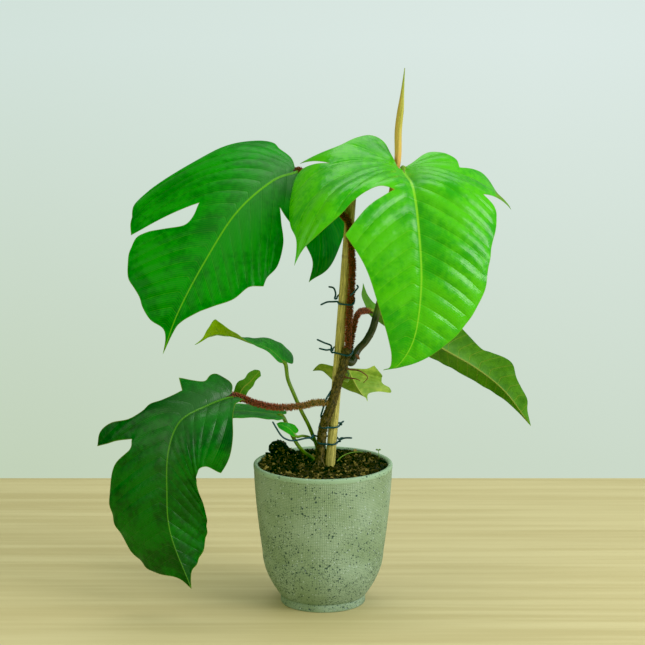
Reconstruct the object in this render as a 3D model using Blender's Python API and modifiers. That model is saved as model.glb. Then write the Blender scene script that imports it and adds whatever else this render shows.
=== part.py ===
"""Potted climbing philodendron: ceramic pot, potting mix, bamboo cane, tied stem and lobed leaves.

All sizes here are in millimetres and become metres in the mesh. The origin is the centre of the
pot's underside, with +X to the right, +Y to the rear and +Z up. Plant points are measured from the
soil's surface, so the plant stands on the soil whatever the pot's height is.
"""
import math

import bpy
import bmesh
import numpy as np
from mathutils import Vector
from mathutils.geometry import delaunay_2d_cdt

MM = 0.001
GAP = 0.3                    # between pieces that touch
OBJECT_NAME = "potted_philodendron"

# pot, a turned shell
POT_HEIGHT = 143.0
RIM_RADIUS = 69.5
SHOULDER_RADIUS = 61.2       # where the wall starts to turn in
SHOULDER_HEIGHT = 52.0
FOOT_RADIUS = 42.7
FOOT_HEIGHT = 8.5
WALL_BULGE = 1.58            # above 1, the wall straightens towards the rim
SHOULDER_ROUND = 1.85        # above 1, the wall turns in late under the shoulder
POT_WALL = 4.4
POT_FLOOR = 6.0
RIM_ROUND = 1.8
POT_SIDES = 48

# potting mix
SOIL_BELOW_RIM = 7.0
SOIL_CLEARANCE = 0.4
SOIL_BUMP = 0.7
SOIL_RISE = 4.2              # the mix is pushed up towards the rim
SOIL_FLAT_RADIUS = 36.0      # and level inside this
MOUND_AT = (-44.0, 32.0)
MOUND_HEIGHT = 15.0
MOUND_SPREAD = 10.0

# cane, pushed into the mix
CANE_RADIUS = 5.0
CANE_FOOT = (7.0, 12.0)      # where it leaves the soil
CANE_LEAN = (0.0761, -0.0203)
CANE_TOP = 275.0
CANE_IN_SOIL = 90.0
CANE_HOLE_CLEARANCE = 0.4

# stems and leaf stalks
STEM_RADIUS = 5.0
SHOOT_RADIUS = 3.9
HAIRY_STALK_RADIUS = 3.0
YOUNG_STALK_RADIUS = 2.8
THIN_STALK_RADIUS = 1.9
TINY_STALK_RADIUS = 1.3
ROOT_RADIUS = 0.9
LOOP_RADIUS = 1.4            # root that arches out of the mound
LOOP_REACH = 8.0
LOOP_AT = (-46.0, 26.0)

# coated wire
WIRE_RADIUS = 0.9
WIRE_CLEARANCE = 0.6
WIRE_START = 2.0             # how far a tail stands off before it bends into the loop
LEAN = 0.8                   # a leaning rod is wider where a loop goes round it

# leaf blades
BLADE_THICKNESS = 1.2
STALK_CLEARANCE = 1.2        # between the end of a stalk and the edge of its blade's notch
BLADE_SPACING = 12.0

SOIL_TOP = POT_HEIGHT - SOIL_BELOW_RIM

COLOURS = {                  # base colour, roughness
    "ceramic": ((0.24, 0.30, 0.22), 0.65),
    "soil": ((0.06, 0.035, 0.018), 0.95),
    "bamboo": ((0.52, 0.42, 0.20), 0.55),
    "bark": ((0.13, 0.08, 0.02), 0.80),
    "young_stem": ((0.05, 0.06, 0.03), 0.40),
    "hairy_stalk": ((0.20, 0.04, 0.02), 0.85),
    "green_stalk": ((0.14, 0.25, 0.03), 0.45),
    "wire": ((0.01, 0.05, 0.06), 0.35),
    "root": ((0.16, 0.08, 0.03), 0.80),
    "new_leaf": ((0.38, 0.34, 0.09), 0.40),
    "leaf_dark": ((0.01, 0.13, 0.01), 0.35),
    "leaf_mid": ((0.02, 0.20, 0.01), 0.35),
    "leaf_bright": ((0.10, 0.36, 0.01), 0.30),
    "leaf_olive": ((0.14, 0.24, 0.04), 0.45),
}


# ------------------------------------------------------------------ general helpers

def clear_scene():
    for thing in list(bpy.data.objects):
        bpy.data.objects.remove(thing, do_unlink=True)


def collection(name):
    found = bpy.data.collections.new(name)
    bpy.context.scene.collection.children.link(found)
    return found


def material(kind):
    found = bpy.data.materials.get(kind)
    if found:
        return found
    colour, roughness = COLOURS[kind]
    made = bpy.data.materials.new(kind)
    made.use_nodes = True
    shader = made.node_tree.nodes["Principled BSDF"]
    shader.inputs["Base Color"].default_value = (*colour, 1.0)
    shader.inputs["Roughness"].default_value = roughness
    shader.inputs["Metallic"].default_value = 0.0
    return made


def add_object(name, data, kind, place=None):
    made = bpy.data.objects.new(name, data)
    (place or bpy.data.collections[OBJECT_NAME]).objects.link(made)
    if kind:
        data.materials.append(material(kind))
    return made


def smooth_line(points, step):
    """Catmull-Rom curve through the points, sampled about every step."""
    raw = [Vector(p) for p in points]
    ends = [raw[0] * 2 - raw[1]] + raw + [raw[-1] * 2 - raw[-2]]
    line = []
    for i in range(1, len(ends) - 2):
        a, b, c, d = ends[i - 1:i + 3]
        count = max(1, round((c - b).length / step))
        for k in range(count):
            t = k / count
            line.append(0.5 * (2 * b + (c - a) * t + (2 * a - 5 * b + 4 * c - d) * t * t
                               + (3 * b - a - 3 * c + d) * t ** 3))
    line.append(raw[-1])
    return line


def ease(share):
    """A smooth step from 0 to 1."""
    share = min(1.0, max(0.0, share))
    return share * share * (3 - 2 * share)


def on_soil(points):
    return [(x, y, z + SOIL_TOP) for x, y, z in points]


def tube(name, points, radius, kind, step=None, sides=2, thickness=None):
    """A solid tube along the points; thickness(t) scales its radius along the way."""
    line = smooth_line(points, step or max(3.0, radius * 2.2))
    curve = bpy.data.curves.new(name, "CURVE")
    curve.dimensions = "3D"
    curve.bevel_depth = radius * MM
    curve.bevel_resolution = sides
    curve.use_fill_caps = True
    curve.render_resolution_u = 0
    spline = curve.splines.new("POLY")
    spline.points.add(len(line) - 1)
    for i, place in enumerate(line):
        spline.points[i].co = (*(place * MM), 1.0)
        if thickness:
            spline.points[i].radius = thickness(i / (len(line) - 1))
    return add_object(name, curve, kind)


def turned(name, profile, kind, sides, where=None):
    """Turns a profile of (radius, height) points, listed top to bottom on its outer side."""
    mesh = bpy.data.meshes.new(name)
    edges = [(i, i + 1) for i in range(len(profile) - 1)]
    mesh.from_pydata([(r * MM, 0, z * MM) for r, z in profile], edges, [])
    made = add_object(name, mesh, kind, where)
    screw = made.modifiers.new("turn", "SCREW")
    screw.steps = sides
    screw.render_steps = sides
    screw.use_merge_vertices = True
    screw.merge_threshold = 0.00001
    return made


def arc(centre_r, centre_z, radius, start, end, count):
    """Points on an arc in the profile plane; angles in degrees from +X."""
    turns = [math.radians(start + (end - start) * i / count) for i in range(count + 1)]
    return [(centre_r + radius * math.cos(t), centre_z + radius * math.sin(t)) for t in turns]


# ------------------------------------------------------------------ pot and mix

def wall_radius(height):
    """Outer radius of the pot above its rounded shoulder, and of the round below it."""
    if height >= SHOULDER_HEIGHT:
        share = min(1.0, (height - SHOULDER_HEIGHT) / (POT_HEIGHT - SHOULDER_HEIGHT))
        return SHOULDER_RADIUS + (RIM_RADIUS - SHOULDER_RADIUS) * (1 - (1 - share) ** WALL_BULGE)
    share = (SHOULDER_HEIGHT - height) / (SHOULDER_HEIGHT - FOOT_HEIGHT)
    return SHOULDER_RADIUS - (SHOULDER_RADIUS - FOOT_RADIUS - 1.0) * share ** SHOULDER_ROUND


def wall_heights(low, high, count):
    return [low + (high - low) * i / count for i in range(count + 1)]


def inner_radius(height):
    return wall_radius(max(height, FOOT_HEIGHT)) - POT_WALL


def inner_heights():
    return wall_heights(POT_FLOOR + 4.0, POT_HEIGHT - RIM_ROUND - 3.0, 8)


def make_pot():
    lip = POT_HEIGHT - RIM_ROUND
    rim_middle = RIM_RADIUS - RIM_ROUND
    inner_lip = RIM_RADIUS - POT_WALL + RIM_ROUND
    outside = arc(rim_middle, lip, RIM_ROUND, 90, 0, 3)
    outside += [(wall_radius(z), z) for z in reversed(wall_heights(FOOT_HEIGHT, lip - 3.0, 10))]
    outside += [(FOOT_RADIUS - 0.6, FOOT_HEIGHT - 0.8), (FOOT_RADIUS, FOOT_HEIGHT - 1.8), (FOOT_RADIUS, 1.0)]
    outside += [(FOOT_RADIUS - 1.0, 0.0), (0.0, 0.0)]
    inside = [(0.0, POT_FLOOR), (inner_radius(POT_FLOOR) - 3.0, POT_FLOOR)]
    inside += [(inner_radius(z), z) for z in inner_heights()]
    inside += arc(inner_lip, lip, RIM_ROUND, 180, 90, 3)
    profile = outside + inside + [outside[0]]
    return turned("pot", profile, "ceramic", POT_SIDES)


def soil_edge():
    return inner_radius(SOIL_TOP) - SOIL_CLEARANCE


def soil_height(x, y):
    """Height of the mix above its middle: small bumps, the mound behind on the left, and the rise."""
    reach = math.hypot(x, y)
    bump = math.sin(x * 0.31 + 1.0) * math.cos(y * 0.27) + 0.6 * math.sin(x * 0.17 - y * 0.23)
    mound = math.exp(-((x - MOUND_AT[0]) ** 2 + (y - MOUND_AT[1]) ** 2) / (2 * MOUND_SPREAD ** 2))
    fade = min(1.0, max(0.0, (soil_edge() - reach) / 6.0))
    rise = ease((reach - SOIL_FLAT_RADIUS) / (soil_edge() - SOIL_FLAT_RADIUS))
    return (SOIL_BUMP * bump * 0.6 + MOUND_HEIGHT * mound) * fade + SOIL_RISE * rise


def make_soil(cutters):
    edge = soil_edge()
    floor = POT_FLOOR + SOIL_CLEARANCE
    rings = 7
    profile = [(edge * i / rings, SOIL_TOP) for i in range(rings + 1)]
    sides = [z for z in inner_heights() if z < SOIL_TOP - 3.0]
    profile += [(inner_radius(z) - SOIL_CLEARANCE, z) for z in reversed(sides)]
    profile += [(inner_radius(POT_FLOOR) - 5.0, floor), (0.0, floor)]
    body = turned("soil_turned", profile, "soil", POT_SIDES)
    graph = bpy.context.evaluated_depsgraph_get()
    mesh = bpy.data.meshes.new_from_object(body.evaluated_get(graph))
    bpy.data.objects.remove(body)
    for vertex in mesh.vertices:
        x, y, z = (c / MM for c in vertex.co)
        if z > SOIL_TOP - 1.0:
            vertex.co.z = (SOIL_TOP + soil_height(x, y)) * MM
    mesh.name = "soil"
    soil = add_object("soil", mesh, None)
    cut = soil.modifiers.new("cane_hole", "BOOLEAN")
    cut.operation = "DIFFERENCE"
    cut.object = cane_hole(cutters)
    return soil


def cane_axis(height):
    """Centre of the cane at a height above the soil."""
    return Vector((CANE_FOOT[0] + CANE_LEAN[0] * height, CANE_FOOT[1] + CANE_LEAN[1] * height, height))


def cylinder_between(name, low, high, radius, kind, where=None, sides=20):
    """A straight round bar from low to high."""
    mesh = bpy.data.meshes.new(name)
    build = bmesh.new()
    span = (high - low) * MM
    bmesh.ops.create_cone(build, cap_ends=True, segments=sides, radius1=radius * MM, radius2=radius * MM,
                          depth=span.length)
    build.to_mesh(mesh)
    build.free()
    made = add_object(name, mesh, kind, where)
    made.location = (low + high) * 0.5 * MM
    made.rotation_euler = span.to_track_quat("Z", "Y").to_euler()
    return made


def cane_hole(cutters):
    low = cane_axis(-CANE_IN_SOIL - CANE_HOLE_CLEARANCE)
    high = cane_axis(20.0)
    lift = Vector((0, 0, SOIL_TOP))
    radius = CANE_RADIUS + CANE_HOLE_CLEARANCE
    hole = cylinder_between("cane_hole", low + lift, high + lift, radius, None, cutters)
    hole.hide_render = True
    hole.display_type = "WIRE"
    return hole


def make_cane():
    lift = Vector((0, 0, SOIL_TOP))
    return cylinder_between("bamboo_cane", cane_axis(-CANE_IN_SOIL) + lift, cane_axis(CANE_TOP) + lift,
                            CANE_RADIUS, "bamboo")


# ------------------------------------------------------------------ stems

STEM_TURNS = [               # height above the soil, angle round the cane in degrees
    (0.9, 168), (14, 174), (26, 180), (38, 190), (50, 218), (62, 245), (76, 262), (89, 277),
    (100, 294), (113, 308), (121, 318)]
STALK_TURNS = [(150, 324), (192, 322), (216, 303), (247, 268)]
STALK_OFF_CANE = 1.0         # leaves room for the stalk's bristles


def beside_cane(height, degrees, radius, stand_off=GAP):
    """Point at a height whose tube of that radius runs along the cane."""
    reach = CANE_RADIUS + radius + stand_off
    turn = math.radians(degrees)
    return cane_axis(height) + Vector((math.cos(turn) * reach, math.sin(turn) * reach, 0))


def stem_axis():
    return [beside_cane(h, a, STEM_RADIUS, GAP + 0.1) for h, a in STEM_TURNS]


def stem_at(height):
    """Centre of the main stem at a height above the soil."""
    line = smooth_line(stem_axis(), 2.0)
    return min(line, key=lambda p: abs(p.z - height))


def off_stem(height, direction, clearance=GAP + 0.1):
    """Two points that start a stalk on the side of the stem and point straight out of it."""
    way = (stem_at(height + 4) - stem_at(height - 4)).normalized()
    out = Vector(direction)
    out = (out - way * out.dot(way)).normalized()
    start = stem_at(height) + out * (STEM_RADIUS + clearance)
    return [start, start + out * 3.0]


def off_soil(x, y, lean=(0.0, 0.0)):
    """Two points that start a stalk on the soil."""
    foot = Vector((x, y, soil_height(x, y) + GAP + 0.4))
    return [foot, foot + Vector((lean[0], lean[1], 4.0))]


def make_stems():
    axis = [(p.x, p.y, p.z) for p in stem_axis()]
    tube("main_stem", on_soil(axis), STEM_RADIUS, "bark", step=7.0)
    shoot = [tuple(p) for p in off_stem(110, (0.86, 0.35, 0.25))] + SHOOT_ROUTE
    tube("shoot", on_soil(shoot), SHOOT_RADIUS, "young_stem")


SHOOT_ROUTE = [(34.5, 13, 118.5), (43, 17, 127.5), (49.3, 20.5, 138.5), (53, 23, 151), (57.5, 25, 168),
               (61, 25, 184)]
SPEAR_ROUTE = [(60.5, 29.5, 185), (61, 31.5, 190), (63, 33, 227), (67, 34, 270), (73.5, 32, 304),
               (74, 28, 336), (76.5, 22, 362), (79.5, 15, 398)]


def make_spear():
    def thickness(t):
        swell = math.exp(-((t - 0.68) / 0.22) ** 2)
        return max(0.12, (0.72 + 0.42 * swell) * min(1.0, (1.0 - t) / 0.22 + 0.12))
    tube("new_leaf", on_soil(SPEAR_ROUTE), 3.4, "new_leaf", step=6.0, thickness=thickness)


# ------------------------------------------------------------------ leaf blades

class Blade:
    """A leaf blade drawn flat and bent into place.

    u runs along the midrib from the stalk, v across it. Each half has ribs that leave the midrib
    in the direction out and curl towards down, by a number of degrees per 100 mm. Both are given
    at the base and at the tip, and blend over a share of the midrib's length.
    """

    def __init__(self, midrib, left, right, outline, blend=(1.0, 1.0)):
        self.line = smooth_line(midrib, 4.0)
        self.line = [Vector(p) for p in self.line]
        total = [0.0]
        for a, b in zip(self.line, self.line[1:]):
            total.append(total[-1] + (b - a).length)
        base = min(range(len(self.line)), key=lambda i: (self.line[i] - Vector(midrib[1])).length)
        self.along = [t - total[base] for t in total]
        self.length = self.along[-1]
        self.sides = (left, right)
        self.blend = blend
        self.outline = outline

    def midrib(self, u):
        line, along = self.line, self.along
        if u <= along[0]:
            return line[0] + (line[0] - line[1]).normalized() * (along[0] - u)
        if u >= along[-1]:
            return line[-1] + (line[-1] - line[-2]).normalized() * (u - along[-1])
        i = max(k for k in range(len(along) - 1) if along[k] <= u)
        return line[i].lerp(line[i + 1], (u - along[i]) / (along[i + 1] - along[i]))

    def place(self, u, v):
        side = 1 if v > 0 else 0
        (out_a, down_a, curl_a), (out_b, down_b, curl_b) = self.sides[side]
        share = ease(u / (self.length * self.blend[side]))
        out = Vector(out_a).lerp(Vector(out_b), share)
        down = Vector(down_a).lerp(Vector(down_b), share)
        curl = math.radians(curl_a + (curl_b - curl_a) * share) / 100
        turn = curl * abs(v)
        return self.midrib(u) + out * (math.sin(turn) / curl) + down * ((1 - math.cos(turn)) / curl)

    def edge(self):
        """Outline as a closed smooth line; points with a third value are sharp corners."""
        points = self.outline
        sharp = [i for i, p in enumerate(points) if len(p) > 2]
        ring = []
        for a, b in zip(sharp, sharp[1:] + [sharp[0] + len(points)]):
            run = [(*points[i % len(points)][:2], 0.0) for i in range(a, b + 1)]
            ring += smooth_line(run, BLADE_SPACING)[:-1]
        return [(p.x, p.y) for p in ring]


def inside(point, ring):
    x, y = point
    hit = False
    for (x1, y1), (x2, y2) in zip(ring, ring[1:] + ring[:1]):
        if (y1 > y) != (y2 > y) and x < (x2 - x1) * (y - y1) / (y2 - y1) + x1:
            hit = not hit
    return hit


def distance_to(point, ring):
    p = Vector(point)
    best = 1e9
    for a, b in zip(ring, ring[1:] + ring[:1]):
        start, span = Vector(a), Vector(b) - Vector(a)
        t = max(0.0, min(1.0, (p - start).dot(span) / max(span.length_squared, 1e-9)))
        best = min(best, (p - start - span * t).length)
    return best


def flat_mesh(ring, spacing):
    """Triangles that fill the outline, with a row of points on the midrib."""
    low_u, high_u = min(p[0] for p in ring), max(p[0] for p in ring)
    high_v = max(abs(p[1]) for p in ring)
    rows = int(high_v / (spacing * 0.87)) + 1
    points = []
    for row in range(-rows, rows + 1):
        v = row * spacing * 0.87
        shift = spacing * 0.5 * (row % 2)
        for k in range(int((high_u - low_u) / spacing) + 2):
            spot = (low_u + k * spacing + shift, v)
            if inside(spot, ring) and distance_to(spot, ring) > spacing * 0.45:
                points.append(spot)
    coords = [Vector(p) for p in ring + points]
    edges = [(i, (i + 1) % len(ring)) for i in range(len(ring))]
    found = delaunay_2d_cdt(coords, edges, [list(range(len(ring)))], 1, 1e-5)
    return found[0], found[2]


def make_blade(name, blade, kind, spacing=BLADE_SPACING):
    flat, faces = flat_mesh(blade.edge(), spacing)
    mesh = bpy.data.meshes.new(name)
    places = [(blade.place(p.x, p.y) + Vector((0, 0, SOIL_TOP))) * MM for p in flat]
    mesh.from_pydata(places, [], faces)
    mesh.update()
    made = add_object(name, mesh, kind)
    solid = made.modifiers.new("thickness", "SOLIDIFY")
    solid.thickness = BLADE_THICKNESS * MM
    solid.offset = 0.0
    for polygon in mesh.polygons:
        polygon.use_smooth = True
    return made


def stalk_end(blade, radius, v, back):
    """End of a stalk, in the notch at the blade's base."""
    return blade.place(-(radius + STALK_CLEARANCE + back), v)


UPPER_LEFT = Blade(
    midrib=[(-12, 86, 296), (-27, 66, 291), (-51, 46, 284), (-86, 24, 255), (-117, 6, 208),
            (-143, -2, 159), (-159, 0, 116)],
    left=(((-0.35, 0.70, 0.58), (-0.6, -0.3, -0.75), 42), ((-0.88, 0.25, 0.38), (-0.1, 0.3, -0.9), 28)),
    right=(((0.40, -0.50, -0.72), (-0.3, 0.6, -0.4), 40), ((0.80, -0.30, -0.50), (-0.2, 0.3, -0.9), 30)),
    outline=[(0, -3, 1), (-6, -22), (-4, -44), (-8, -62), (2, -84), (24, -104), (48, -124), (66, -142),
             (77, -152, 1), (93, -152), (118, -130), (139, -109, 1), (132, -97), (114, -70), (98, -48, 1),
             (122, -47), (136, -88), (147, -97), (171, -82), (185, -68), (197, -48), (207, -38),
             (216, -24), (219, -9), (227, -3), (243, 0, 1), (218, 3), (204, 7), (182, 21), (145, 48),
             (118, 60), (97, 78, 1), (87, 77), (66, 80), (49, 66), (42, 45), (37, 30, 1), (33, 50),
             (20, 85), (15, 107), (23, 129, 1), (-8, 121), (-30, 99), (-44, 80), (-52, 60),
             (-46, 36), (-30, 16), (-12, 5)])

UPPER_RIGHT = Blade(
    midrib=[(79, 60, 324), (79, 15, 299), (87, -22, 285), (92, -45, 245), (94, -58, 196),
            (88, -62, 147), (73, -60, 119), (58, -54, 112)],
    left=(((-0.95, -0.38, 0.235), (0.0, 0.15, -1.0), 45), ((-0.97, 0.0, 0.0), (0.0, 0.6, -0.5), 30)),
    right=(((0.97, -0.10, 0.20), (0.2, 0.75, -0.62), 67), ((0.98, 0.0, 0.06), (0.0, 0.9, -0.2), 40)),
    outline=[(0, -5, 1), (-24, -12), (-44, -19), (-54, -32), (-54, -50), (-51, -70), (-54, -90),
             (-62, -110), (-74, -128, 1), (-54, -108), (-30, -82, 1), (-46, -106), (-58, -126),
             (-57, -140), (-36, -146), (-5, -147), (32, -150), (68, -156, 1), (65, -138), (66, -112),
             (61, -84), (52, -66), (45, -50), (41, -34), (45, -20, 1), (52, -33), (62, -52),
             (82, -78, 1), (115, -59), (154, -43), (188, -27), (208, -15), (224, -6), (238, 0, 1),
             (228, 6), (212, 26), (184, 47), (151, 64), (128, 68), (100, 75), (72, 86), (56, 86),
             (44, 74, 1), (40, 92), (40, 108), (42, 124, 1), (22, 122), (2, 110), (-8, 92), (-8, 76),
             (-3, 58, 1), (-16, 56), (-24, 46), (-26, 36), (-23, 24), (-8, 9)])

LOWER_LEFT = Blade(
    midrib=[(-72, -8, 74), (-89, -14, 77), (-114, -28, 71), (-139, -42, 59), (-150, -54, 33),
            (-152, -58, -6), (-149, -58, -50), (-130, -50, -108)],
    left=(((-0.42, 0.35, 0.80), (-0.6, 0.1, -0.8), 30), ((-0.86, 0.42, 0.12), (-0.1, 0.6, -0.7), 28)),
    right=(((0.35, -0.75, 0.10), (0.15, -0.1, -0.95), 150), ((0.80, 0.45, -0.10), (0.1, 0.8, -0.3), 50)),
    blend=(0.5, 1.0),
    outline=[(0, -3, 1), (-5, -14), (0, -26), (9, -30), (18, -26), (26, -33), (33, -45, 1), (39, -29, 1),
             (47, -31), (56, -36), (63, -44), (70, -47), (78, -58), (83, -78), (90, -88), (100, -88, 1),
             (98, -75), (95, -64), (92, -47, 1), (100, -46), (115, -62), (138, -69), (168, -67),
             (192, -61), (214, -54), (229, -40), (228, -12), (238, 0, 1), (221, 7), (206, 23),
             (188, 39), (166, 53), (145, 60), (122, 61), (104, 58, 1), (90, 62), (74, 68), (58, 78),
             (37, 93, 1), (27, 76), (20, 56), (14, 36), (4, 20), (-8, 14)])

REAR_RIGHT = Blade(
    midrib=[(30, 50, 160), (48, 62, 151), (85, 84, 131), (125, 100, 103), (160, 108, 81),
            (191, 110, 55), (218, 108, 19)],
    left=(((-0.15, 0.25, 0.95), (0.3, -0.9, -0.1), 45), ((0.72, 0.20, 0.62), (0.1, -0.9, -0.4), 40)),
    right=(((-0.10, 0.75, -0.60), (0.0, 0.5, 0.85), 25), ((-0.62, 0.55, -0.55), (-0.2, -0.2, -0.9), 20)),
    outline=[(-6, -2, 1), (-9, -11), (-5, -27, 1), (0, -15), (4, -11), (12, -11), (30, -34), (60, -46),
             (90, -46), (112, -34), (134, -24), (144, -26), (159, -31), (168, -30), (179, -21),
             (190, -17), (203, -14), (212, -7), (227, 0, 1), (208, 3), (186, 9), (166, 15), (140, 21),
             (110, 25), (80, 30), (50, 30), (26, 24), (8, 16), (-4, 8)])

REAR_LOW = Blade(
    midrib=[(21, 58, 100), (25, 62, 90), (30, 68, 79), (36, 72, 67), (45, 74, 54)],
    left=(((0.75, 0.5, 0.0), (0.3, 0.3, -0.8), 60), ((0.8, 0.5, 0.3), (0.0, 0.5, -0.8), 40)),
    right=(((-0.85, 0.3, 0.10), (0.0, 0.3, -0.9), 50), ((-0.8, 0.5, 0.1), (0.0, 0.5, -0.8), 40)),
    outline=[(0, 0, 1), (1, -23), (-6, -38, 1), (8, -42), (29, -31), (40, -33, 1), (46, -30), (40, -18),
             (38, -6), (45, 0, 1), (38, 1), (31, 22), (19, 29), (7, 33), (4, 45, 1), (-1, 38), (-4, 30),
             (0, 16)])

LOWER_LOBE = Blade(
    midrib=[(-86, 0, 70), (-84.5, 0.5, 74), (-79, 2, 83), (-73, 3, 88), (-65, 4, 97)],
    left=(((-0.62, 0.2, 0.60), (0.2, 0.7, 0.1), 50), ((-0.60, 0.3, 0.65), (0.2, 0.8, 0.0), 50)),
    right=(((0.66, -0.1, -0.60), (0.1, 0.6, 0.2), 40), ((0.62, 0.1, -0.62), (0.1, 0.7, 0.1), 40)),
    outline=[(-2, 0, 1), (-3, -5), (3, -8), (10, -9), (17, -7), (24, -8), (31, -5, 1), (34, 0), (31, 5, 1),
             (24, 4), (18, 6), (10, 7), (2, 8), (-3, 5)])

SMALL_UPPER = Blade(
    midrib=[(-32, 12, 100), (-39, 8, 108), (-54, 4, 122), (-72, 0, 129), (-89, -4, 136),
            (-107, -8, 139), (-125, -10, 129)],
    left=(((0.1, 0.9, 0.32), (0.0, 0.3, -0.95), 40), ((-0.1, 0.6, -0.3), (0.0, 0.3, -0.9), 30)),
    right=(((-0.1, -0.9, -0.30), (0.0, 0.3, -0.95), 30), ((0.3, -0.6, 0.75), (0.0, 0.5, 0.5), 40)),
    outline=[(0, 0, 1), (-11, -10), (-12, -20), (-8, -30), (4, -34), (16, -30), (30, -28), (44, -25),
             (58, -22), (72, -16), (84, -8), (101, 1, 1), (93, 5), (90, 18), (85, 27), (78, 22),
             (66, 16), (52, 14), (34, 10), (16, 10), (4, 8)])

LOW_LONG = Blade(
    midrib=[(-33, 12, 50), (-44, 12, 53), (-68, 12, 56), (-92, 10, 57), (-122, 8, 54), (-147, 6, 45)],
    left=(((0.0, 0.95, 0.12), (0.0, 0.3, -0.95), 35), ((0.0, 0.95, 0.1), (0.0, 0.3, -0.9), 30)),
    right=(((0.0, -0.95, -0.02), (0.0, 0.2, -0.95), 25), ((0.0, -0.95, 0.0), (0.0, 0.2, -0.9), 30)),
    outline=[(0, 0, 1), (-7, -8), (-6, -16), (4, -22), (20, -26), (45, -28), (70, -23), (90, -11),
             (105, 0, 1), (90, 12), (70, 22), (48, 25), (28, 22), (10, 22), (0, 20), (-6, 10)])

SMALL_CURLED = Blade(
    midrib=[(-23, 2, 31), (-28, 0, 36), (-33, -4, 42), (-39, -6, 46), (-45, -7, 48)],
    left=(((0.3, 0.7, 0.45), (0.0, 0.3, -0.9), 60), ((0.3, 0.5, 0.5), (0.0, 0.5, -0.8), 40)),
    right=(((-0.1, -0.75, -0.45), (-0.3, 0.3, -0.8), 60), ((-0.1, -0.7, -0.5), (0.0, 0.5, -0.8), 40)),
    outline=[(0, 0, 1), (-2, -5), (-1, -9), (6, -10), (15, -6), (21, -4), (24, 0, 1), (20, 6), (13, 8),
             (5, 7), (-1, 4)])


def make_blades():
    make_blade("leaf_upper_left", UPPER_LEFT, "leaf_mid")
    make_blade("leaf_upper_right", UPPER_RIGHT, "leaf_bright")
    make_blade("leaf_lower_left", LOWER_LEFT, "leaf_dark")
    make_blade("leaf_lower_lobe", LOWER_LOBE, "leaf_olive", 5.0)
    make_blade("leaf_rear_right", REAR_RIGHT, "leaf_olive")
    make_blade("leaf_rear_low", REAR_LOW, "leaf_olive", 7.0)
    make_blade("leaf_small_upper", SMALL_UPPER, "leaf_mid", 7.0)
    make_blade("leaf_low_long", LOW_LONG, "leaf_mid", 7.0)
    make_blade("leaf_small_curled", SMALL_CURLED, "leaf_olive", 5.0)


# ------------------------------------------------------------------ leaf stalks

def stalk(name, route, radius, kind, blade, v=0.0, back=0.0):
    points = [tuple(p) for p in route] + [tuple(stalk_end(blade, radius, v, back))]
    tube(name, on_soil(points), radius, kind)


def stem_top():
    return stem_at(STEM_TURNS[-1][0]) + Vector((0.2, 0, GAP + 0.4))


def make_stalks():
    along_cane = [beside_cane(h, a, HAIRY_STALK_RADIUS, STALK_OFF_CANE) for h, a in STALK_TURNS]
    stalk("stalk_upper_left", [stem_top(), stem_top() + Vector((0.6, 0.2, 5))] + along_cane
          + [(18, -2, 258), (13, 10, 268), (2, 34, 280), (-10, 56, 288)],
          HAIRY_STALK_RADIUS, "hairy_stalk", UPPER_LEFT, -6.0, 4.5)
    stalk("stalk_upper_right", [(62.5, 21.5, 185), (63, 20, 191), (69, 17, 227), (76, 18, 262),
                                (78, 22, 286)], YOUNG_STALK_RADIUS, "green_stalk", UPPER_RIGHT, 0.5, 4.5)
    stalk("stalk_lower_left", off_stem(67, (-1, -0.25, 0.1)) + [
        (-10, -6, 69), (-18, -8, 67), (-30, -10, 66), (-44, -12, 66), (-62, -12, 69), (-78, -12, 73)],
        HAIRY_STALK_RADIUS, "hairy_stalk", LOWER_LEFT, -2.5, 0.4)
    stalk("stalk_rear_right", off_stem(111, (0.3, 0.95, 0.3)) + [
        (26, 15, 116), (28, 24, 124), (31, 36, 139), (36, 48, 150)],
        THIN_STALK_RADIUS, "hairy_stalk", REAR_RIGHT, 2.5, 6.0)
    stalk("stalk_rear_low", off_stem(92, (0.95, 0.25, 0.1)) + [(26, 14, 93), (24, 30, 95), (23, 50, 99)],
          TINY_STALK_RADIUS, "green_stalk", REAR_LOW, 0.0, 0.5)
    stalk("stalk_small_upper", off_soil(-4, 30, (-0.5, -0.6)) + [
        (-6, 27, 16), (-10, 21, 29), (-15, 14, 43), (-22, 10, 58), (-29, 8, 75), (-35, 9, 90)],
        THIN_STALK_RADIUS, "green_stalk", SMALL_UPPER, 1.0)
    stalk("stalk_low_long", off_soil(-10, 27, (-0.5, -0.5)) + [(-19, 18, 13), (-26, 12, 23), (-33, 12, 36)],
          THIN_STALK_RADIUS, "green_stalk", LOW_LONG)
    stalk("stalk_small_curled", off_soil(-1, 38, (-0.3, -0.3)) + [
        (-5, 35, 15), (-12, 28, 25), (-20, 13, 31), (-24, 5, 33)],
        TINY_STALK_RADIUS, "green_stalk", SMALL_CURLED)


# ------------------------------------------------------------------ wire ties

def loop_round(circles, height, face, opening, dip):
    """Wire path round two upright rods, open towards the direction face (degrees), lower in front."""
    reach = WIRE_RADIUS + WIRE_CLEARANCE
    path = []
    steps = 20
    for k in range(steps + 1):
        turn = math.radians(face + opening + (360 - 2 * opening) * k / steps)
        way = Vector((math.cos(turn), math.sin(turn), 0))
        centre, radius = max(circles, key=lambda c: c[0].dot(way) + c[1])
        rise = dip * way.y
        path.append(Vector((centre.x, centre.y, height + rise)) + way * (radius + reach))
    return path


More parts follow.
